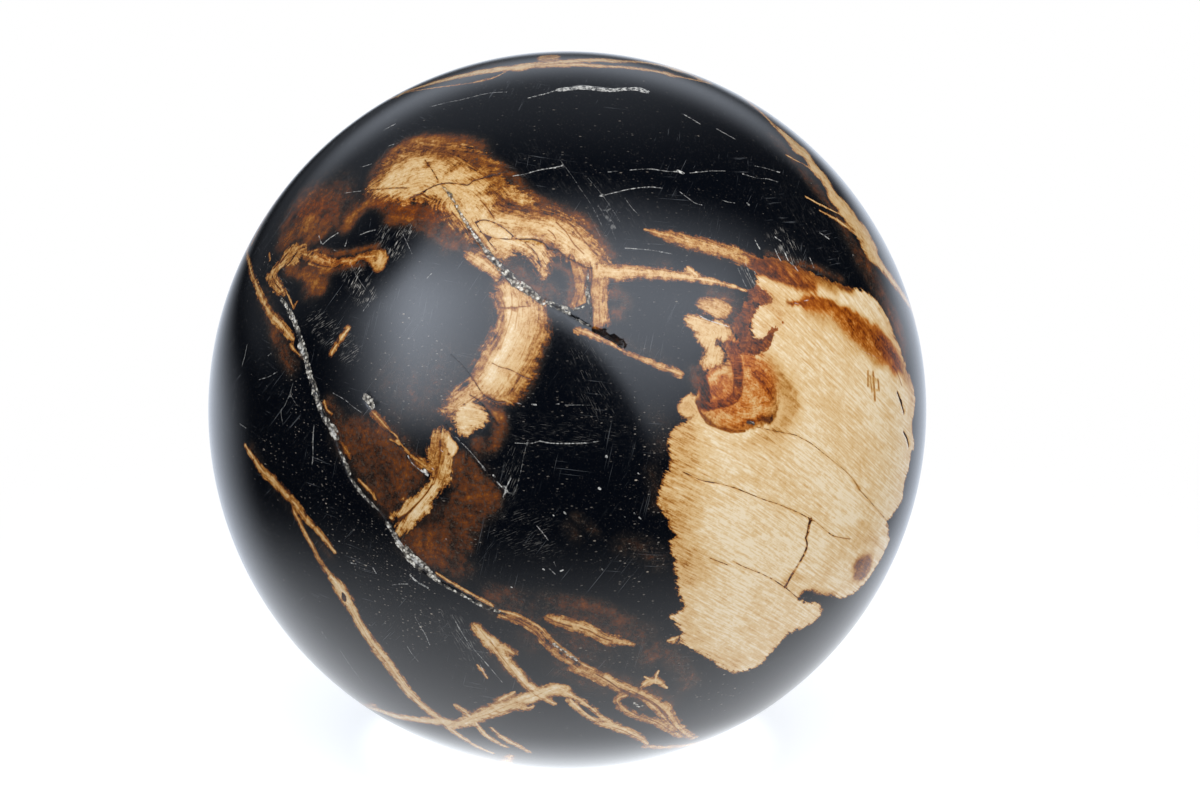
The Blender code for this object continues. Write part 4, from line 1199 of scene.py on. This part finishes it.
def brushed(mark, directions):
    """The directions that a soft brush stroke reaches, and how strongly it covers each."""
    half, soft = mark.brush_half * mark.per_px, mark.brush_soft * mark.per_px
    ids = mark.near(directions, half + soft)
    distance = mark.measure(directions[ids])[0]
    t = np.clip((half + soft - distance) / (2 * soft), 0, 1)
    return ids, eased(t) * mark.strength


def most_covered(marks, directions, least=0.0):
    """How strongly the strongest of these brush strokes covers each direction."""
    covered = np.full(len(directions), least)
    for mark in marks:
        ids, cover = brushed(mark, directions)
        covered[ids] = np.maximum(covered[ids], cover)
    return covered


def pale_wood_fields(directions):
    """The pale wood's distances and shades after all tints, where it is plain cream, and its fibres."""
    pale = closeness(pale_patches + pale_veins, directions)
    main_patch = closeness(pale_patches[:1], directions)["signed"]
    by_knot = closeness(pale_patches[1:5], directions)["signed"] < 0.1
    in_cream = ((main_patch < 0.5) & ~by_knot)[:, None]
    cream_fibre = np.stack(cream_fibres(directions), axis=1)
    fibre = np.where(in_cream, cream_fibre, np.stack(nearest_fibres(directions), axis=1))
    cream = np.where(by_knot, 0, np.clip(0.5 - main_patch, 0, 1))
    for mark in tints:
        ids, cover = brushed(mark, directions)
        pale["shade"][ids] += (mark.paint - pale["shade"][ids]) * cover
        if mark.paint > HONEY:
            calmed = cream[ids] > 0.1
            pale["busy"][ids[calmed]] *= 1 - 0.9 * cover[calmed]
            cream[ids] *= 1 - cover
            pale["busy"][ids] += (0.7 - pale["busy"][ids]) * cover * 0.6 * ~calmed
    return pale, cream, fibre


def scuffs_at(directions):
    """How scuffed each direction is, and its place along and across the scratches there, in mm."""
    scuffed = np.zeros(len(directions))
    strokes = np.zeros((len(directions), 2))
    for mark in scuffed_parts:
        ids, cover = brushed(mark, directions)
        stronger = cover > scuffed[ids]
        ids, cover = ids[stronger], cover[stronger]
        scuffed[ids] = cover
        x, y = pixel_of(directions[ids]).T / PX_PER_MM
        turn = math.radians(mark.turn)
        strokes[ids, 0] = x * math.cos(turn) - y * math.sin(turn)
        strokes[ids, 1] = x * math.sin(turn) + y * math.cos(turn)
    return scuffed, strokes


def stains_at(directions):
    """The shade of the ground stone, and how strongly any stain covers it."""
    ground = np.full(len(directions), BLACK)
    stained = np.zeros(len(directions))
    for mark in stains:
        ids, cover = brushed(mark, directions)
        ground[ids] += (mark.paint - ground[ids]) * cover
        stained[ids] = np.maximum(stained[ids], cover)
    return ground, stained


def sunk_at(directions):
    """How deep each direction lies in a fissure, in mm."""
    sunk = np.zeros(len(directions))
    for mark in fissures:
        ids = mark.near(directions, mark.fissure_half)
        distance = mark.measure(directions[ids])[0]
        t = np.clip(1 - distance / mark.fissure_half, 0, 1)
        sunk[ids] = np.maximum(sunk[ids], mark.depth * eased(np.minimum(1, t * 1.7)))
    chance = np.random.default_rng(SEED).random(len(sunk))
    return sunk * (1 - (1 - SHALLOWEST_SHARE) * chance)


def build_ball():
    """The ball's mesh, whose points keep what the material needs. The last is the centre of its foot."""
    directions, faces = triangles_between(mesh_sites())
    pale, cream, fibre = pale_wood_fields(directions)
    dark = closeness(dark_patches + dark_veins, directions)
    flecked = closeness(flecks, directions)
    ground, stained = stains_at(directions)
    scuffed, strokes = scuffs_at(directions)
    sunk = sunk_at(directions)

    positions = BALL_CENTRE + directions * (BALL_RADIUS - sunk[:, None] / 1000)
    positions = np.vstack([positions, [[0, 0, 0]]])
    positions[:, 2] = np.maximum(positions[:, 2], 0)
    mesh = bpy.data.meshes.new("polished_ball")
    mesh.from_pydata(positions.tolist(), [], faces.tolist())

    # Each field's name, its values, and its value at the foot's centre
    fields = [
        ("pale", pale["signed"], REACH),
        ("pale_shade", pale["shade"], 0),
        ("pale_ragged", pale["ragged"], 0),
        ("pale_fringe", pale["fringe"], PLAIN["fringe"]),
        ("busy", pale["busy"], 0),
        ("cream", cream, 0),
        ("ground", ground, BLACK),
        ("stained", stained, 0),
        ("dark", dark["signed"], REACH),
        ("dark_shade", dark["shade"], 0),
        ("dark_ragged", dark["ragged"], 0),
        ("ruddy", most_covered(ruddy_parts, directions), 0),
        ("speckled", most_covered(speckled_parts, directions, LEAST_SPECKLED), 0),
        ("scuffed", scuffed, 0),
        ("grit", closeness(grit, directions)["signed"], REACH),
        ("crack", closeness(cracks, directions)["signed"], REACH),
        ("fleck", flecked["signed"], REACH),
        ("fleck_light", flecked["shade"], 0),
        ("sunk", sunk, 0),
    ]
    for name, values, at_foot in fields:
        values = np.append(values, at_foot).astype(np.float32)
        mesh.attributes.new(name, "FLOAT", "POINT").data.foreach_set("value", values)
    for name, places in (("fibre", fibre), ("strokes", strokes)):
        vectors = np.zeros((len(positions), 3), np.float32)
        vectors[:-1, :2] = places
        mesh.attributes.new(name, "FLOAT_VECTOR", "POINT").data.foreach_set("vector", vectors.ravel())
    mesh.shade_smooth()
    mesh.update()

    # The polished surface mirrors like a true sphere, and only the sunk parts keep their own normals
    own = np.zeros(len(positions) * 3, np.float32)
    mesh.vertices.foreach_get("normal", own)
    rounded = np.vstack([directions, [[0, 0, -1]]])
    touched = (np.append(sunk, 0) > SUNK_ENOUGH)[faces].any(axis=1)
    use_own = np.zeros(len(positions), bool)
    use_own[faces[touched].ravel()] = True
    normals = np.where(use_own[:, None], own.reshape(-1, 3), rounded)
    mesh.normals_split_custom_set_from_vertices(normals.tolist())
    made = bpy.data.objects.new("polished_ball", mesh)
    bpy.context.scene.collection.objects.link(made)
    print("ball:", len(positions), "points,", len(faces), "triangles")
    return made


class Graph:
    """Short ways to add nodes to a node tree and link them."""

    def __init__(self, tree):
        self.tree = tree
        tree.nodes.clear()

    def node(self, kind, inputs=None, **settings):
        made = self.tree.nodes.new(kind)
        for name, value in settings.items():
            setattr(made, name, value)
        for key, value in (inputs or {}).items():
            if isinstance(value, bpy.types.NodeSocket):
                self.tree.links.new(value, made.inputs[key])
            else:
                made.inputs[key].default_value = value
        return made

    def math(self, operation, a, b=0.0):
        return self.node("ShaderNodeMath", {0: a, 1: b}, operation=operation).outputs[0]

    def add(self, *terms):
        total = terms[0]
        for term in terms[1:]:
            total = self.math("ADD", total, term)
        return total

    def times(self, *terms):
        total = terms[0]
        for term in terms[1:]:
            total = self.math("MULTIPLY", total, term)
        return total

    def weighted(self, *pairs):
        """The sum of values, each times its weight."""
        return self.add(*(self.times(value, weight) for value, weight in pairs))

    def smooth(self, value, low, high, out_low=0.0, out_high=1.0):
        inputs = {"Value": value, "From Min": low, "From Max": high, "To Min": out_low, "To Max": out_high}
        return self.node("ShaderNodeMapRange", inputs, interpolation_type="SMOOTHSTEP").outputs["Result"]

    def blend(self, factor, a, b):
        """From number a to number b."""
        return self.node("ShaderNodeMix", {0: factor, 2: a, 3: b}).outputs[0]

    def mix(self, factor, a, b):
        """From colour a to colour b."""
        return self.node("ShaderNodeMix", {0: factor, 6: a, 7: b}, data_type="RGBA").outputs[2]

    def noise(self, vector, scale, detail=2.0, roughness=0.5):
        inputs = {"Vector": vector, "Scale": scale, "Detail": detail, "Roughness": roughness}
        return self.node("ShaderNodeTexNoise", inputs).outputs["Fac"]

    def centred_noise(self, *settings):
        """Noise that is about 0 on average."""
        return self.add(self.noise(*settings), -0.5)

    def stretched(self, vector, x, y, z):
        inputs = {0: vector, 1: (x, y, z)}
        return self.node("ShaderNodeVectorMath", inputs, operation="MULTIPLY").outputs["Vector"]

    def ramp(self, factor, stops):
        made = self.node("ShaderNodeValToRGB", {0: factor})
        elements = made.color_ramp.elements
        while len(elements) < len(stops):
            elements.new(0.5)
        for element, (position, colour) in zip(elements, stops):
            element.position = position
            element.color = (*colour, 1)
        return made.outputs["Color"]

    def field(self, name):
        return self.node("ShaderNodeAttribute", attribute_name=name).outputs["Fac"]

    def vector_field(self, name):
        return self.node("ShaderNodeAttribute", attribute_name=name).outputs["Vector"]


# The wood's colours, from the lightest cream to the blackest stone
WOOD_COLOURS = [
    (0.00, (0.62, 0.515, 0.36)),
    (LIGHT, (0.60, 0.487, 0.32)),
    (CREAM, (0.55, 0.402, 0.228)),
    (STRAW, (0.51, 0.345, 0.160)),
    (TAN, (0.46, 0.280, 0.115)),
    (HONEY, (0.39, 0.208, 0.062)),
    (AMBER, (0.295, 0.125, 0.024)),
    (ORANGE, (0.19, 0.060, 0.009)),
    (RUST, (0.105, 0.030, 0.0080)),
    (BROWN, (0.052, 0.018, 0.0080)),
    (UMBER, (0.020, 0.010, 0.0065)),
    (1.10, (0.0045, 0.0042, 0.0045)),
    (BLACK, (0.0008, 0.0014, 0.0028)),
]
# Where the wood is ruddy, its colour is multiplied by this
RUDDY_TINT = (1.12, 0.60, 0.10)
CRACK_SHADE = 0.98
# The tone that sunk places are darkened towards, the deeper the darker: painted shade in the fissures and
# hollows
FISSURE_PAINTED_SHADE = 1.04
# The grains in the fissures, from the dark ones to the palest
GRIT_COLOURS = [
    (0.00, (0.010, 0.008, 0.007)),
    (0.12, (0.022, 0.018, 0.014)),
    (0.22, (0.14, 0.125, 0.10)),
    (0.50, (0.33, 0.305, 0.26)),
    (0.80, (0.58, 0.56, 0.50)),
]
GRIT_OUTLINE_COLOUR = (0.010, 0.008, 0.007, 1)
DUST_COLOUR = (0.050, 0.042, 0.036, 1)
STAIN_DUST_COLOUR = (0.115, 0.080, 0.055, 1)
SCUFF_COLOUR = (0.30, 0.28, 0.25, 1)
SCRATCH_COLOUR = (0.11, 0.115, 0.12, 1)
FLECK_COLOUR = (0.48, 0.47, 0.44, 1)
# Two sizes of specks: (cells for each mm, the largest speck as a share of its cell, colour)
SPECK_KINDS = (
    (0.95, 0.15, (0.34, 0.29, 0.23, 1)),
    (2.7, 0.36, (0.17, 0.15, 0.125, 1)),
)
# Fine polish scratches in the black: (direction in radians, strength, which part of the noise in mm)
SCRATCH_KINDS = ((0.95, 0.5, 0.0), (-0.12, 0.45, 40.0), (1.35, 0.35, 90.0))
STONE_IOR = 1.54


class StoneLook(Graph):
    """The stone's material: one tone from cream at 0 to black at 1.2, and further layers over it."""

    def __init__(self, tree):
        super().__init__(tree)
        place = self.node("ShaderNodeTexCoord").outputs["Object"]
        self.mm = self.stretched(place, 1000, 1000, 1000)
        self.fibre = self.vector_field("fibre")
        # Clouds, a rough figure from 1 mm down to fine grains, and two noises drawn out along the fibres
        self.clouds = self.centred_noise(self.mm, 0.16, 3, 0.5)
        self.figure = self.centred_noise(self.mm, 0.85, 6, 0.68)
        self.grains = self.centred_noise(self.stretched(self.mm, 1, 1.1, 0.9), 2.9, 3, 0.75)
        self.long_fibres = self.centred_noise(self.stretched(self.fibre, 0.22, 2.4, 1), 1.0, 4, 0.62)
        self.fine_fibres = self.centred_noise(self.stretched(self.fibre, 0.50, 4.0, 1), 1.0, 3, 0.7)

    def pale_wood(self):
        """The tone of the pale wood, darker across its ragged fringe, and how far it covers the black."""
        busy = self.field("busy")
        ragged = self.weighted(
            (self.figure, 4.0), (self.long_fibres, 3.4), (self.fine_fibres, 1.6), (self.grains, 1.6),
        )
        edge = self.add(self.field("pale"), self.times(self.field("pale_ragged"), ragged))
        fringe = self.math("DIVIDE", edge, self.field("pale_fringe"))
        shade = self.field("pale_shade")
        inner = self.smooth(fringe, -1.3, 0.1)
        outer = self.smooth(fringe, -0.15, 1.0)
        wood = self.add(shade, self.times(self.math("SUBTRACT", 0.70, shade), inner, 0.7))
        wood = self.add(wood, self.times(self.math("SUBTRACT", 1.12, wood), outer))
        fibres = self.add(self.long_fibres, self.fine_fibres)
        fibrous = self.add(self.times(self.field("cream"), 1.5), 0.8)
        figured = self.weighted((self.figure, 1.5), (fibres, fibrous), (self.grains, 1.1))
        strength = self.add(self.times(busy, 0.40), 0.28)
        wood = self.add(wood, self.times(figured, strength), self.times(self.clouds, 0.3))
        contours = self.centred_noise(self.stretched(self.fibre, 0.10, 1.3, 1), 1.0, 3, 0.55)
        contours = self.math("ABSOLUTE", self.add(contours, self.times(self.grains, 0.05)))
        wood = self.add(wood, self.times(self.smooth(contours, 0.016, 0.0), busy, 0.30))
        return wood, self.smooth(fringe, 1.0, 0.7)

    def stained_ground(self):
        """The tone of the black stone and its stains."""
        mottled = self.weighted(
            (self.clouds, 0.5), (self.figure, 0.8), (self.grains, 0.45), (self.long_fibres, 0.25),
        )
        stained = self.smooth(self.field("stained"), 0.0, 0.6, 0.0, 0.9)
        return self.add(self.field("ground"), self.times(mottled, stained))

    def dark_wood_over(self, tone):
        edge = self.weighted((self.figure, 5), (self.grains, 3.5))
        edge = self.add(self.field("dark"), self.times(edge, self.field("dark_ragged")))
        shade = self.add(self.field("dark_shade"), self.weighted(
            (self.figure, 1.0), (self.fine_fibres, 0.6), (self.grains, 0.4),
        ))
        return self.blend(self.smooth(edge, 0.10, -0.12), tone, shade)

    def cracks_over(self, tone):
        """The tone with thin cracks, browner beside them, and the distance to a crack's ragged edge."""
        edge = self.add(self.field("crack"), self.weighted((self.figure, 0.22), (self.grains, 0.12)))
        tone = self.add(tone, self.smooth(edge, 0.30, 0.0, 0, 0.14))
        broken = self.smooth(self.noise(self.mm, 1.6, 2, 0.6), 0.36, 0.56, 0.3, 0.95)
        cover = self.times(self.smooth(edge, 0.035, -0.03), broken)
        return self.blend(cover, tone, CRACK_SHADE), edge

    def specks_over(self, colour, darkness):
        speckled = self.field("speckled")
        for scale, reach, light in SPECK_KINDS:
            inputs = {"Vector": self.stretched(self.mm, 0.62, 1, 1.4), "Scale": scale}
            cells = self.node("ShaderNodeTexVoronoi", inputs)
            chance = self.node("ShaderNodeSeparateColor", {0: cells.outputs["Color"]}).outputs[0]
            size = self.smooth(chance, 0.4, 1.0, reach * 0.5, reach)
            speck = self.smooth(self.math("DIVIDE", cells.outputs["Distance"], size), 1.0, 0.4)
            speck = self.times(speck, self.smooth(self.add(chance, self.times(speckled, 0.42)), 0.94, 1.30))
            colour = self.mix(self.times(speck, darkness), colour, light)
        powder = self.add(self.noise(self.mm, 5.0, 2, 0.7), self.times(speckled, 0.05))
        dust = self.times(self.smooth(powder, 0.62, 0.78), darkness)
        return self.mix(self.times(dust, 0.7), colour, DUST_COLOUR)

    def scuffs_over(self, colour, darkness):
        """Patches of fine parallel scratches, where they are drawn."""
        strokes = self.vector_field("strokes")
        stroke = self.smooth(self.noise(self.stretched(strokes, 0.8, 6.5, 1), 1.0, 2, 0.6), 0.53, 0.66)
        broken = self.smooth(self.noise(self.stretched(strokes, 0.5, 0.9, 1), 1.0, 2, 0.5), 0.36, 0.58)
        return self.mix(self.times(stroke, broken, self.field("scuffed"), darkness), colour, SCUFF_COLOUR)

    def scratches_over(self, colour, darkness):
        """Faint long polish scratches in a few directions."""
        for turn, strength, offset in SCRATCH_KINDS:
            inputs = {"Vector": self.mm, "Rotation": (0, turn, 0), "Location": (offset, 0, 0)}
            turned = self.node("ShaderNodeMapping", inputs).outputs[0]
            lines = self.smooth(self.noise(self.stretched(turned, 0.13, 0.3, 6.5), 1.0, 2, 0.5), 0.64, 0.76)
            where = self.smooth(self.noise(turned, 0.11, 2, 0.5), 0.50, 0.64)
            cover = self.times(lines, where, darkness, strength)
            colour = self.mix(cover, colour, SCRATCH_COLOUR)
        return colour

    def grit_over(self, colour):
        """The colour with pale grains in the fissures, between dark ones, their height and their cover."""
        crystals = self.node("ShaderNodeTexVoronoi", {"Vector": self.mm, "Scale": 2.5})
        tone = self.node("ShaderNodeSeparateColor", {0: crystals.outputs["Color"]}).outputs[0]
        tone = self.add(tone, self.times(self.figure, 0.6), self.times(self.grains, 0.4))
        tone = self.times(tone, self.smooth(crystals.outputs["Distance"], 0.62, 0.34, 0.35, 1.0))
        edge = self.times(self.weighted((self.figure, 2.4), (self.grains, 1.2)), 0.42)
        edge = self.add(self.field("grit"), edge)
        broken = self.smooth(self.noise(self.mm, 0.8, 3, 0.6), 0.34, 0.46)
        cover = self.times(self.smooth(edge, 0.03, -0.03), broken)
        outline = self.smooth(self.math("ABSOLUTE", self.add(edge, -0.05)), 0.08, 0.02, 0.0, 0.85)
        outline = self.times(outline, self.smooth(self.long_fibres, -0.12, 0.06, 0.2, 1.0))
        colour = self.mix(self.times(cover, 0.95), colour, self.ramp(tone, GRIT_COLOURS))
        return self.mix(outline, colour, GRIT_OUTLINE_COLOUR), tone, cover

    def flecks_over(self, colour):
        """The colour with pale scratches and flecks, broken along their length, and their cover."""
        edge = self.add(self.field("fleck"), self.times(self.grains, 0.22))
        cover = self.times(self.smooth(edge, 0.03, -0.04), self.field("fleck_light"))
        cover = self.times(cover, self.smooth(self.noise(self.mm, 2.2, 3, 0.7), 0.40, 0.60, 0.08, 1.0))
        return self.mix(cover, colour, FLECK_COLOUR), cover

    def finish(self):
        """All the layers from the bottom up, then the gloss and the finest relief."""
        wood, pale_cover = self.pale_wood()
        ground = self.stained_ground()
        tone = self.blend(pale_cover, ground, self.math("MINIMUM", wood, ground))
        tone, crack_edge = self.cracks_over(self.dark_wood_over(tone))
        sunk = self.field("sunk")
        # Painted shade: the deeper a place is sunk, the darker its tone
        tone = self.blend(self.smooth(sunk, 0.01, 0.10, 0, 0.75), tone, FISSURE_PAINTED_SHADE)
        stops = [(shade / BLACK, colour) for shade, colour in WOOD_COLOURS]
        colour = self.ramp(self.math("DIVIDE", tone, BLACK), stops)
        ruddy = self.times(self.field("ruddy"), self.smooth(tone, 0.38, 0.62))
        colour = self.mix(ruddy, colour, self.stretched(colour, *RUDDY_TINT))

        darkness = self.smooth(tone, 0.85, 1.08)
        colour = self.specks_over(colour, darkness)
        colour = self.scuffs_over(colour, darkness)
        stain_dust = self.times(self.field("stained"), self.smooth(tone, 0.78, 0.9))
        stain_dust = self.times(self.smooth(self.grains, -0.02, 0.2), stain_dust, 0.5)
        colour = self.mix(stain_dust, colour, STAIN_DUST_COLOUR)
        colour = self.scratches_over(colour, darkness)
        colour, crystal_height, grit_cover = self.grit_over(colour)
        colour, fleck_cover = self.flecks_over(colour)

        roughness = self.add(
            self.smooth(self.grains, -0.2, 0.25, 0.09, 0.16), self.smooth(sunk, 0.01, 0.05, 0, 0.4),
            self.times(grit_cover, 0.3),
        )
        height = self.add(
            self.times(grit_cover, crystal_height), self.times(fleck_cover, 0.3),
            self.smooth(crack_edge, 0.04, -0.03, 0, -0.5),
        )
        bump = self.node("ShaderNodeBump", {"Height": height, "Strength": 0.35, "Distance": 0.0001})
        shader = self.node("ShaderNodeBsdfPrincipled", {
            "Base Color": colour,
            "Roughness": roughness,
            "Normal": bump.outputs["Normal"],
            "IOR": STONE_IOR,
        })
        self.node("ShaderNodeOutputMaterial", {"Surface": shader.outputs[0]})


def stone_material():
    material = bpy.data.materials.new("petrified wood")
    material.use_nodes = True
    StoneLook(material.node_tree).finish()
    return material


# The light: two large soft panels in front, joined above a dark gap, in a dark room. Each bound is a plane
# through the ball: (the direction it faces, its offset, its softness)
PANEL_LEFT_END = ((0.989, -0.059, -0.136), -0.860, 0.14)
PANEL_TOP_END = ((0.000, -0.812, -0.583), -0.287, 0.33)
PANEL_RIGHT_END = ((-0.801, -0.203, 0.563), -0.354, 0.29)
PANEL_CORNER = ((0.764, -0.103, -0.637), -0.961, 0.03)
GAP_LEFT_SIDE = ((0.859, -0.400, -0.319), -0.04, 0.12)
GAP_RIGHT_SIDE = ((-0.460, -0.881, -0.111), 0.601, 0.036)
LEFT_PANEL_LIGHT = 7.8
RIGHT_PANEL_LIGHT = 2.8
ROOM_LIGHT = 0.012
BACK_HAZE_LIGHT = 0.19
BACK_BAND_LIGHT = 0.55
BACKDROP_LIGHT = 1.0
# An even light that only matt surfaces get
SOFT_LIGHT = 0.42
STUDIO_TINT = (0.92, 1.0, 1.14)


def light_studio():
    """The world: the panels and the backdrop as the ball mirrors them, and plain white for the camera."""
    world = bpy.data.worlds.new("studio")
    bpy.context.scene.world = world
    world.use_nodes = True
    g = Graph(world.node_tree)
    direction = g.node("ShaderNodeTexCoord").outputs["Generated"]
    x, y, z = g.node("ShaderNodeSeparateXYZ", {0: direction}).outputs

    def within(*bounds):
        """1 on the inner side of all these bounds and 0 beyond, with a soft change between."""
        sides = []
        for facing, offset, soft in bounds:
            dot = g.node("ShaderNodeVectorMath", {0: direction, 1: facing}, operation="DOT_PRODUCT")
            sides.append(g.smooth(dot.outputs["Value"], offset - soft, offset + soft))
        return g.times(*sides)

    panels = within(PANEL_LEFT_END, PANEL_TOP_END, PANEL_RIGHT_END, PANEL_CORNER)
    gap = within(GAP_LEFT_SIDE, GAP_RIGHT_SIDE)
    panels = g.times(panels, g.smooth(z, -0.05, 0.25), g.math("SUBTRACT", 1.0, gap))
    panels = g.times(panels, g.smooth(x, -1.0, -0.3, LEFT_PANEL_LIGHT, RIGHT_PANEL_LIGHT))
    panels = g.times(panels, g.smooth(z, 0.0, 0.75, 0.25, 1.0))
    haze = g.times(
        g.smooth(z, 0.2, 0.6, 0.35, 1.0), g.smooth(x, 0.6, 0.05, 0.05, 1.0), g.smooth(y, 0.0, 0.6),
        g.smooth(z, -0.02, 0.1, 0, BACK_HAZE_LIGHT),
    )
    flat = g.math("SQRT", g.add(g.times(x, x), g.times(y, y), 1e-6))
    raised = g.add(z, g.smooth(x, -0.25, 0.0, 0.17, 0.0))
    backdrop = g.times(
        g.smooth(g.math("DIVIDE", y, flat), 0.42, 0.97), g.smooth(raised, 0.16, -0.06, 0, BACKDROP_LIGHT),
    )
    band = g.times(
        g.smooth(z, 0.12, 0.36), g.smooth(z, 0.75, 0.38), g.smooth(y, 0.70, 0.92, 0, BACK_BAND_LIGHT),
    )
    path = g.node("ShaderNodeLightPath").outputs
    soft_light = g.times(path["Is Diffuse Ray"], SOFT_LIGHT)
    total = g.add(panels, haze, band, backdrop, ROOM_LIGHT, soft_light)
    tint = g.mix(path["Is Diffuse Ray"], (*STUDIO_TINT, 1), (1, 1, 1, 1))
    studio = g.node("ShaderNodeBackground", {"Color": tint, "Strength": total})
    white = g.node("ShaderNodeBackground", {"Color": (1, 1, 1, 1), "Strength": 1.0})
    shown = g.node("ShaderNodeMixShader", {
        0: path["Is Camera Ray"], 1: studio.outputs[0], 2: white.outputs[0],
    })
    g.node("ShaderNodeOutputWorld", {"Surface": shown.outputs[0]})


FLOOR_SIZE = 1.2
FLOOR_COLOUR = (0.60, 0.61, 0.63, 1)
FLOOR_GLOW_COLOUR = (0.96, 1.0, 1.05, 1)
# Painted light: the floor glows more strongly round the ball's foot, where the ball's shadow would fall
# The glow falls from the first strength to the second between two distances from the ball's foot, in metres
FLOOR_GLOW_NEAR, FLOOR_GLOW_FAR = 1.5, 0.60
FLOOR_BRIGHT_RADIUS = 0.019
FLOOR_DIM_RADIUS = 0.032
# The floor is opaque up to the first distance and fades out over the second
FLOOR_LIT_RADIUS = 0.032
FLOOR_FADE = 0.058


def make_floor():
    """A pale sheet under the ball, brightest near it, whose far edge fades into the white behind it."""
    mesh = bpy.data.meshes.new("floor")
    half = FLOOR_SIZE / 2
    corners = [(-half, -half, 0), (half, -half, 0), (half, half, 0), (-half, half, 0)]
    mesh.from_pydata(corners, [], [(0, 1, 2, 3)])
    floor = bpy.data.objects.new("floor", mesh)
    bpy.context.scene.collection.objects.link(floor)
    material = bpy.data.materials.new("pale floor")
    material.use_nodes = True
    g = Graph(material.node_tree)
    place = g.node("ShaderNodeTexCoord").outputs["Object"]
    away = g.node("ShaderNodeVectorMath", {0: place}, operation="LENGTH").outputs["Value"]
    beyond = g.math("MAXIMUM", g.math("DIVIDE", g.add(away, -FLOOR_LIT_RADIUS), FLOOR_FADE), 0.0)
    fade = g.math("EXPONENT", g.times(beyond, beyond, -1.0))
    sheet = g.node("ShaderNodeBsdfDiffuse", {"Color": FLOOR_COLOUR})
    # Painted light: the glow is strongest close to the ball, filling in its shadow
    strength = g.smooth(away, FLOOR_BRIGHT_RADIUS, FLOOR_DIM_RADIUS, FLOOR_GLOW_NEAR, FLOOR_GLOW_FAR)
    glow = g.node("ShaderNodeEmission", {"Color": FLOOR_GLOW_COLOUR, "Strength": strength})
    lit = g.node("ShaderNodeAddShader", {0: sheet.outputs[0], 1: glow.outputs[0]})
    clear = g.node("ShaderNodeBsdfTransparent")
    shown = g.node("ShaderNodeMixShader", {0: fade, 1: clear.outputs[0], 2: lit.outputs[0]})
    g.node("ShaderNodeOutputMaterial", {"Surface": shown.outputs[0]})
    mesh.materials.append(material)


# The fill lamp, in metres and watts, with its bearing and height in degrees
FILL_SIZE = 0.5
FILL_DISTANCE = 0.7
FILL_POWER = 2.1
FILL_COLOUR = (1.0, 0.99, 0.98)
FILL_BEARING = (52, 14)


def light_from_right():
    """A large soft lamp at the right. It fills the side the panels leave dark, and isn't mirrored."""
    data = bpy.data.lights.new("fill", "AREA")
    data.shape = "DISK"
    data.size = FILL_SIZE
    data.energy = FILL_POWER
    data.color = FILL_COLOUR
    lamp = bpy.data.objects.new("fill", data)
    facing = Vector(at_bearing([FILL_BEARING])[0])
    lamp.location = Vector(BALL_CENTRE) + facing * FILL_DISTANCE
    lamp.rotation_euler = facing.to_track_quat("Z", "Y").to_euler()
    lamp.visible_glossy = False
    lamp.visible_camera = False
    bpy.context.scene.collection.objects.link(lamp)


def place_camera():
    data = bpy.data.cameras.new("camera")
    data.sensor_width = SENSOR_WIDTH_MM
    data.lens = FOCAL_LENGTH_PX * SENSOR_WIDTH_MM / PICTURE_SIZE_PX[0]
    data.shift_x = (PICTURE_SIZE_PX[0] / 2 - BALL_CENTRE_PX[0]) / PICTURE_SIZE_PX[0]
    data.shift_y = (BALL_CENTRE_PX[1] - PICTURE_SIZE_PX[1] / 2) / PICTURE_SIZE_PX[0]
    camera = bpy.data.objects.new("camera", data)
    camera.location = BALL_CENTRE + CAMERA_BACK * EYE_DISTANCE * BALL_RADIUS
    camera.rotation_euler = (math.pi / 2 - VIEW_ELEVATION, 0, 0)
    bpy.context.scene.collection.objects.link(camera)
    bpy.context.scene.camera = camera


place_camera()
light_studio()
light_from_right()
make_floor()
ball = build_ball()
ball.data.materials.append(stone_material())
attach(ball, "root")
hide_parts("sphere")
bpy.context.scene.view_settings.view_transform = "Standard"
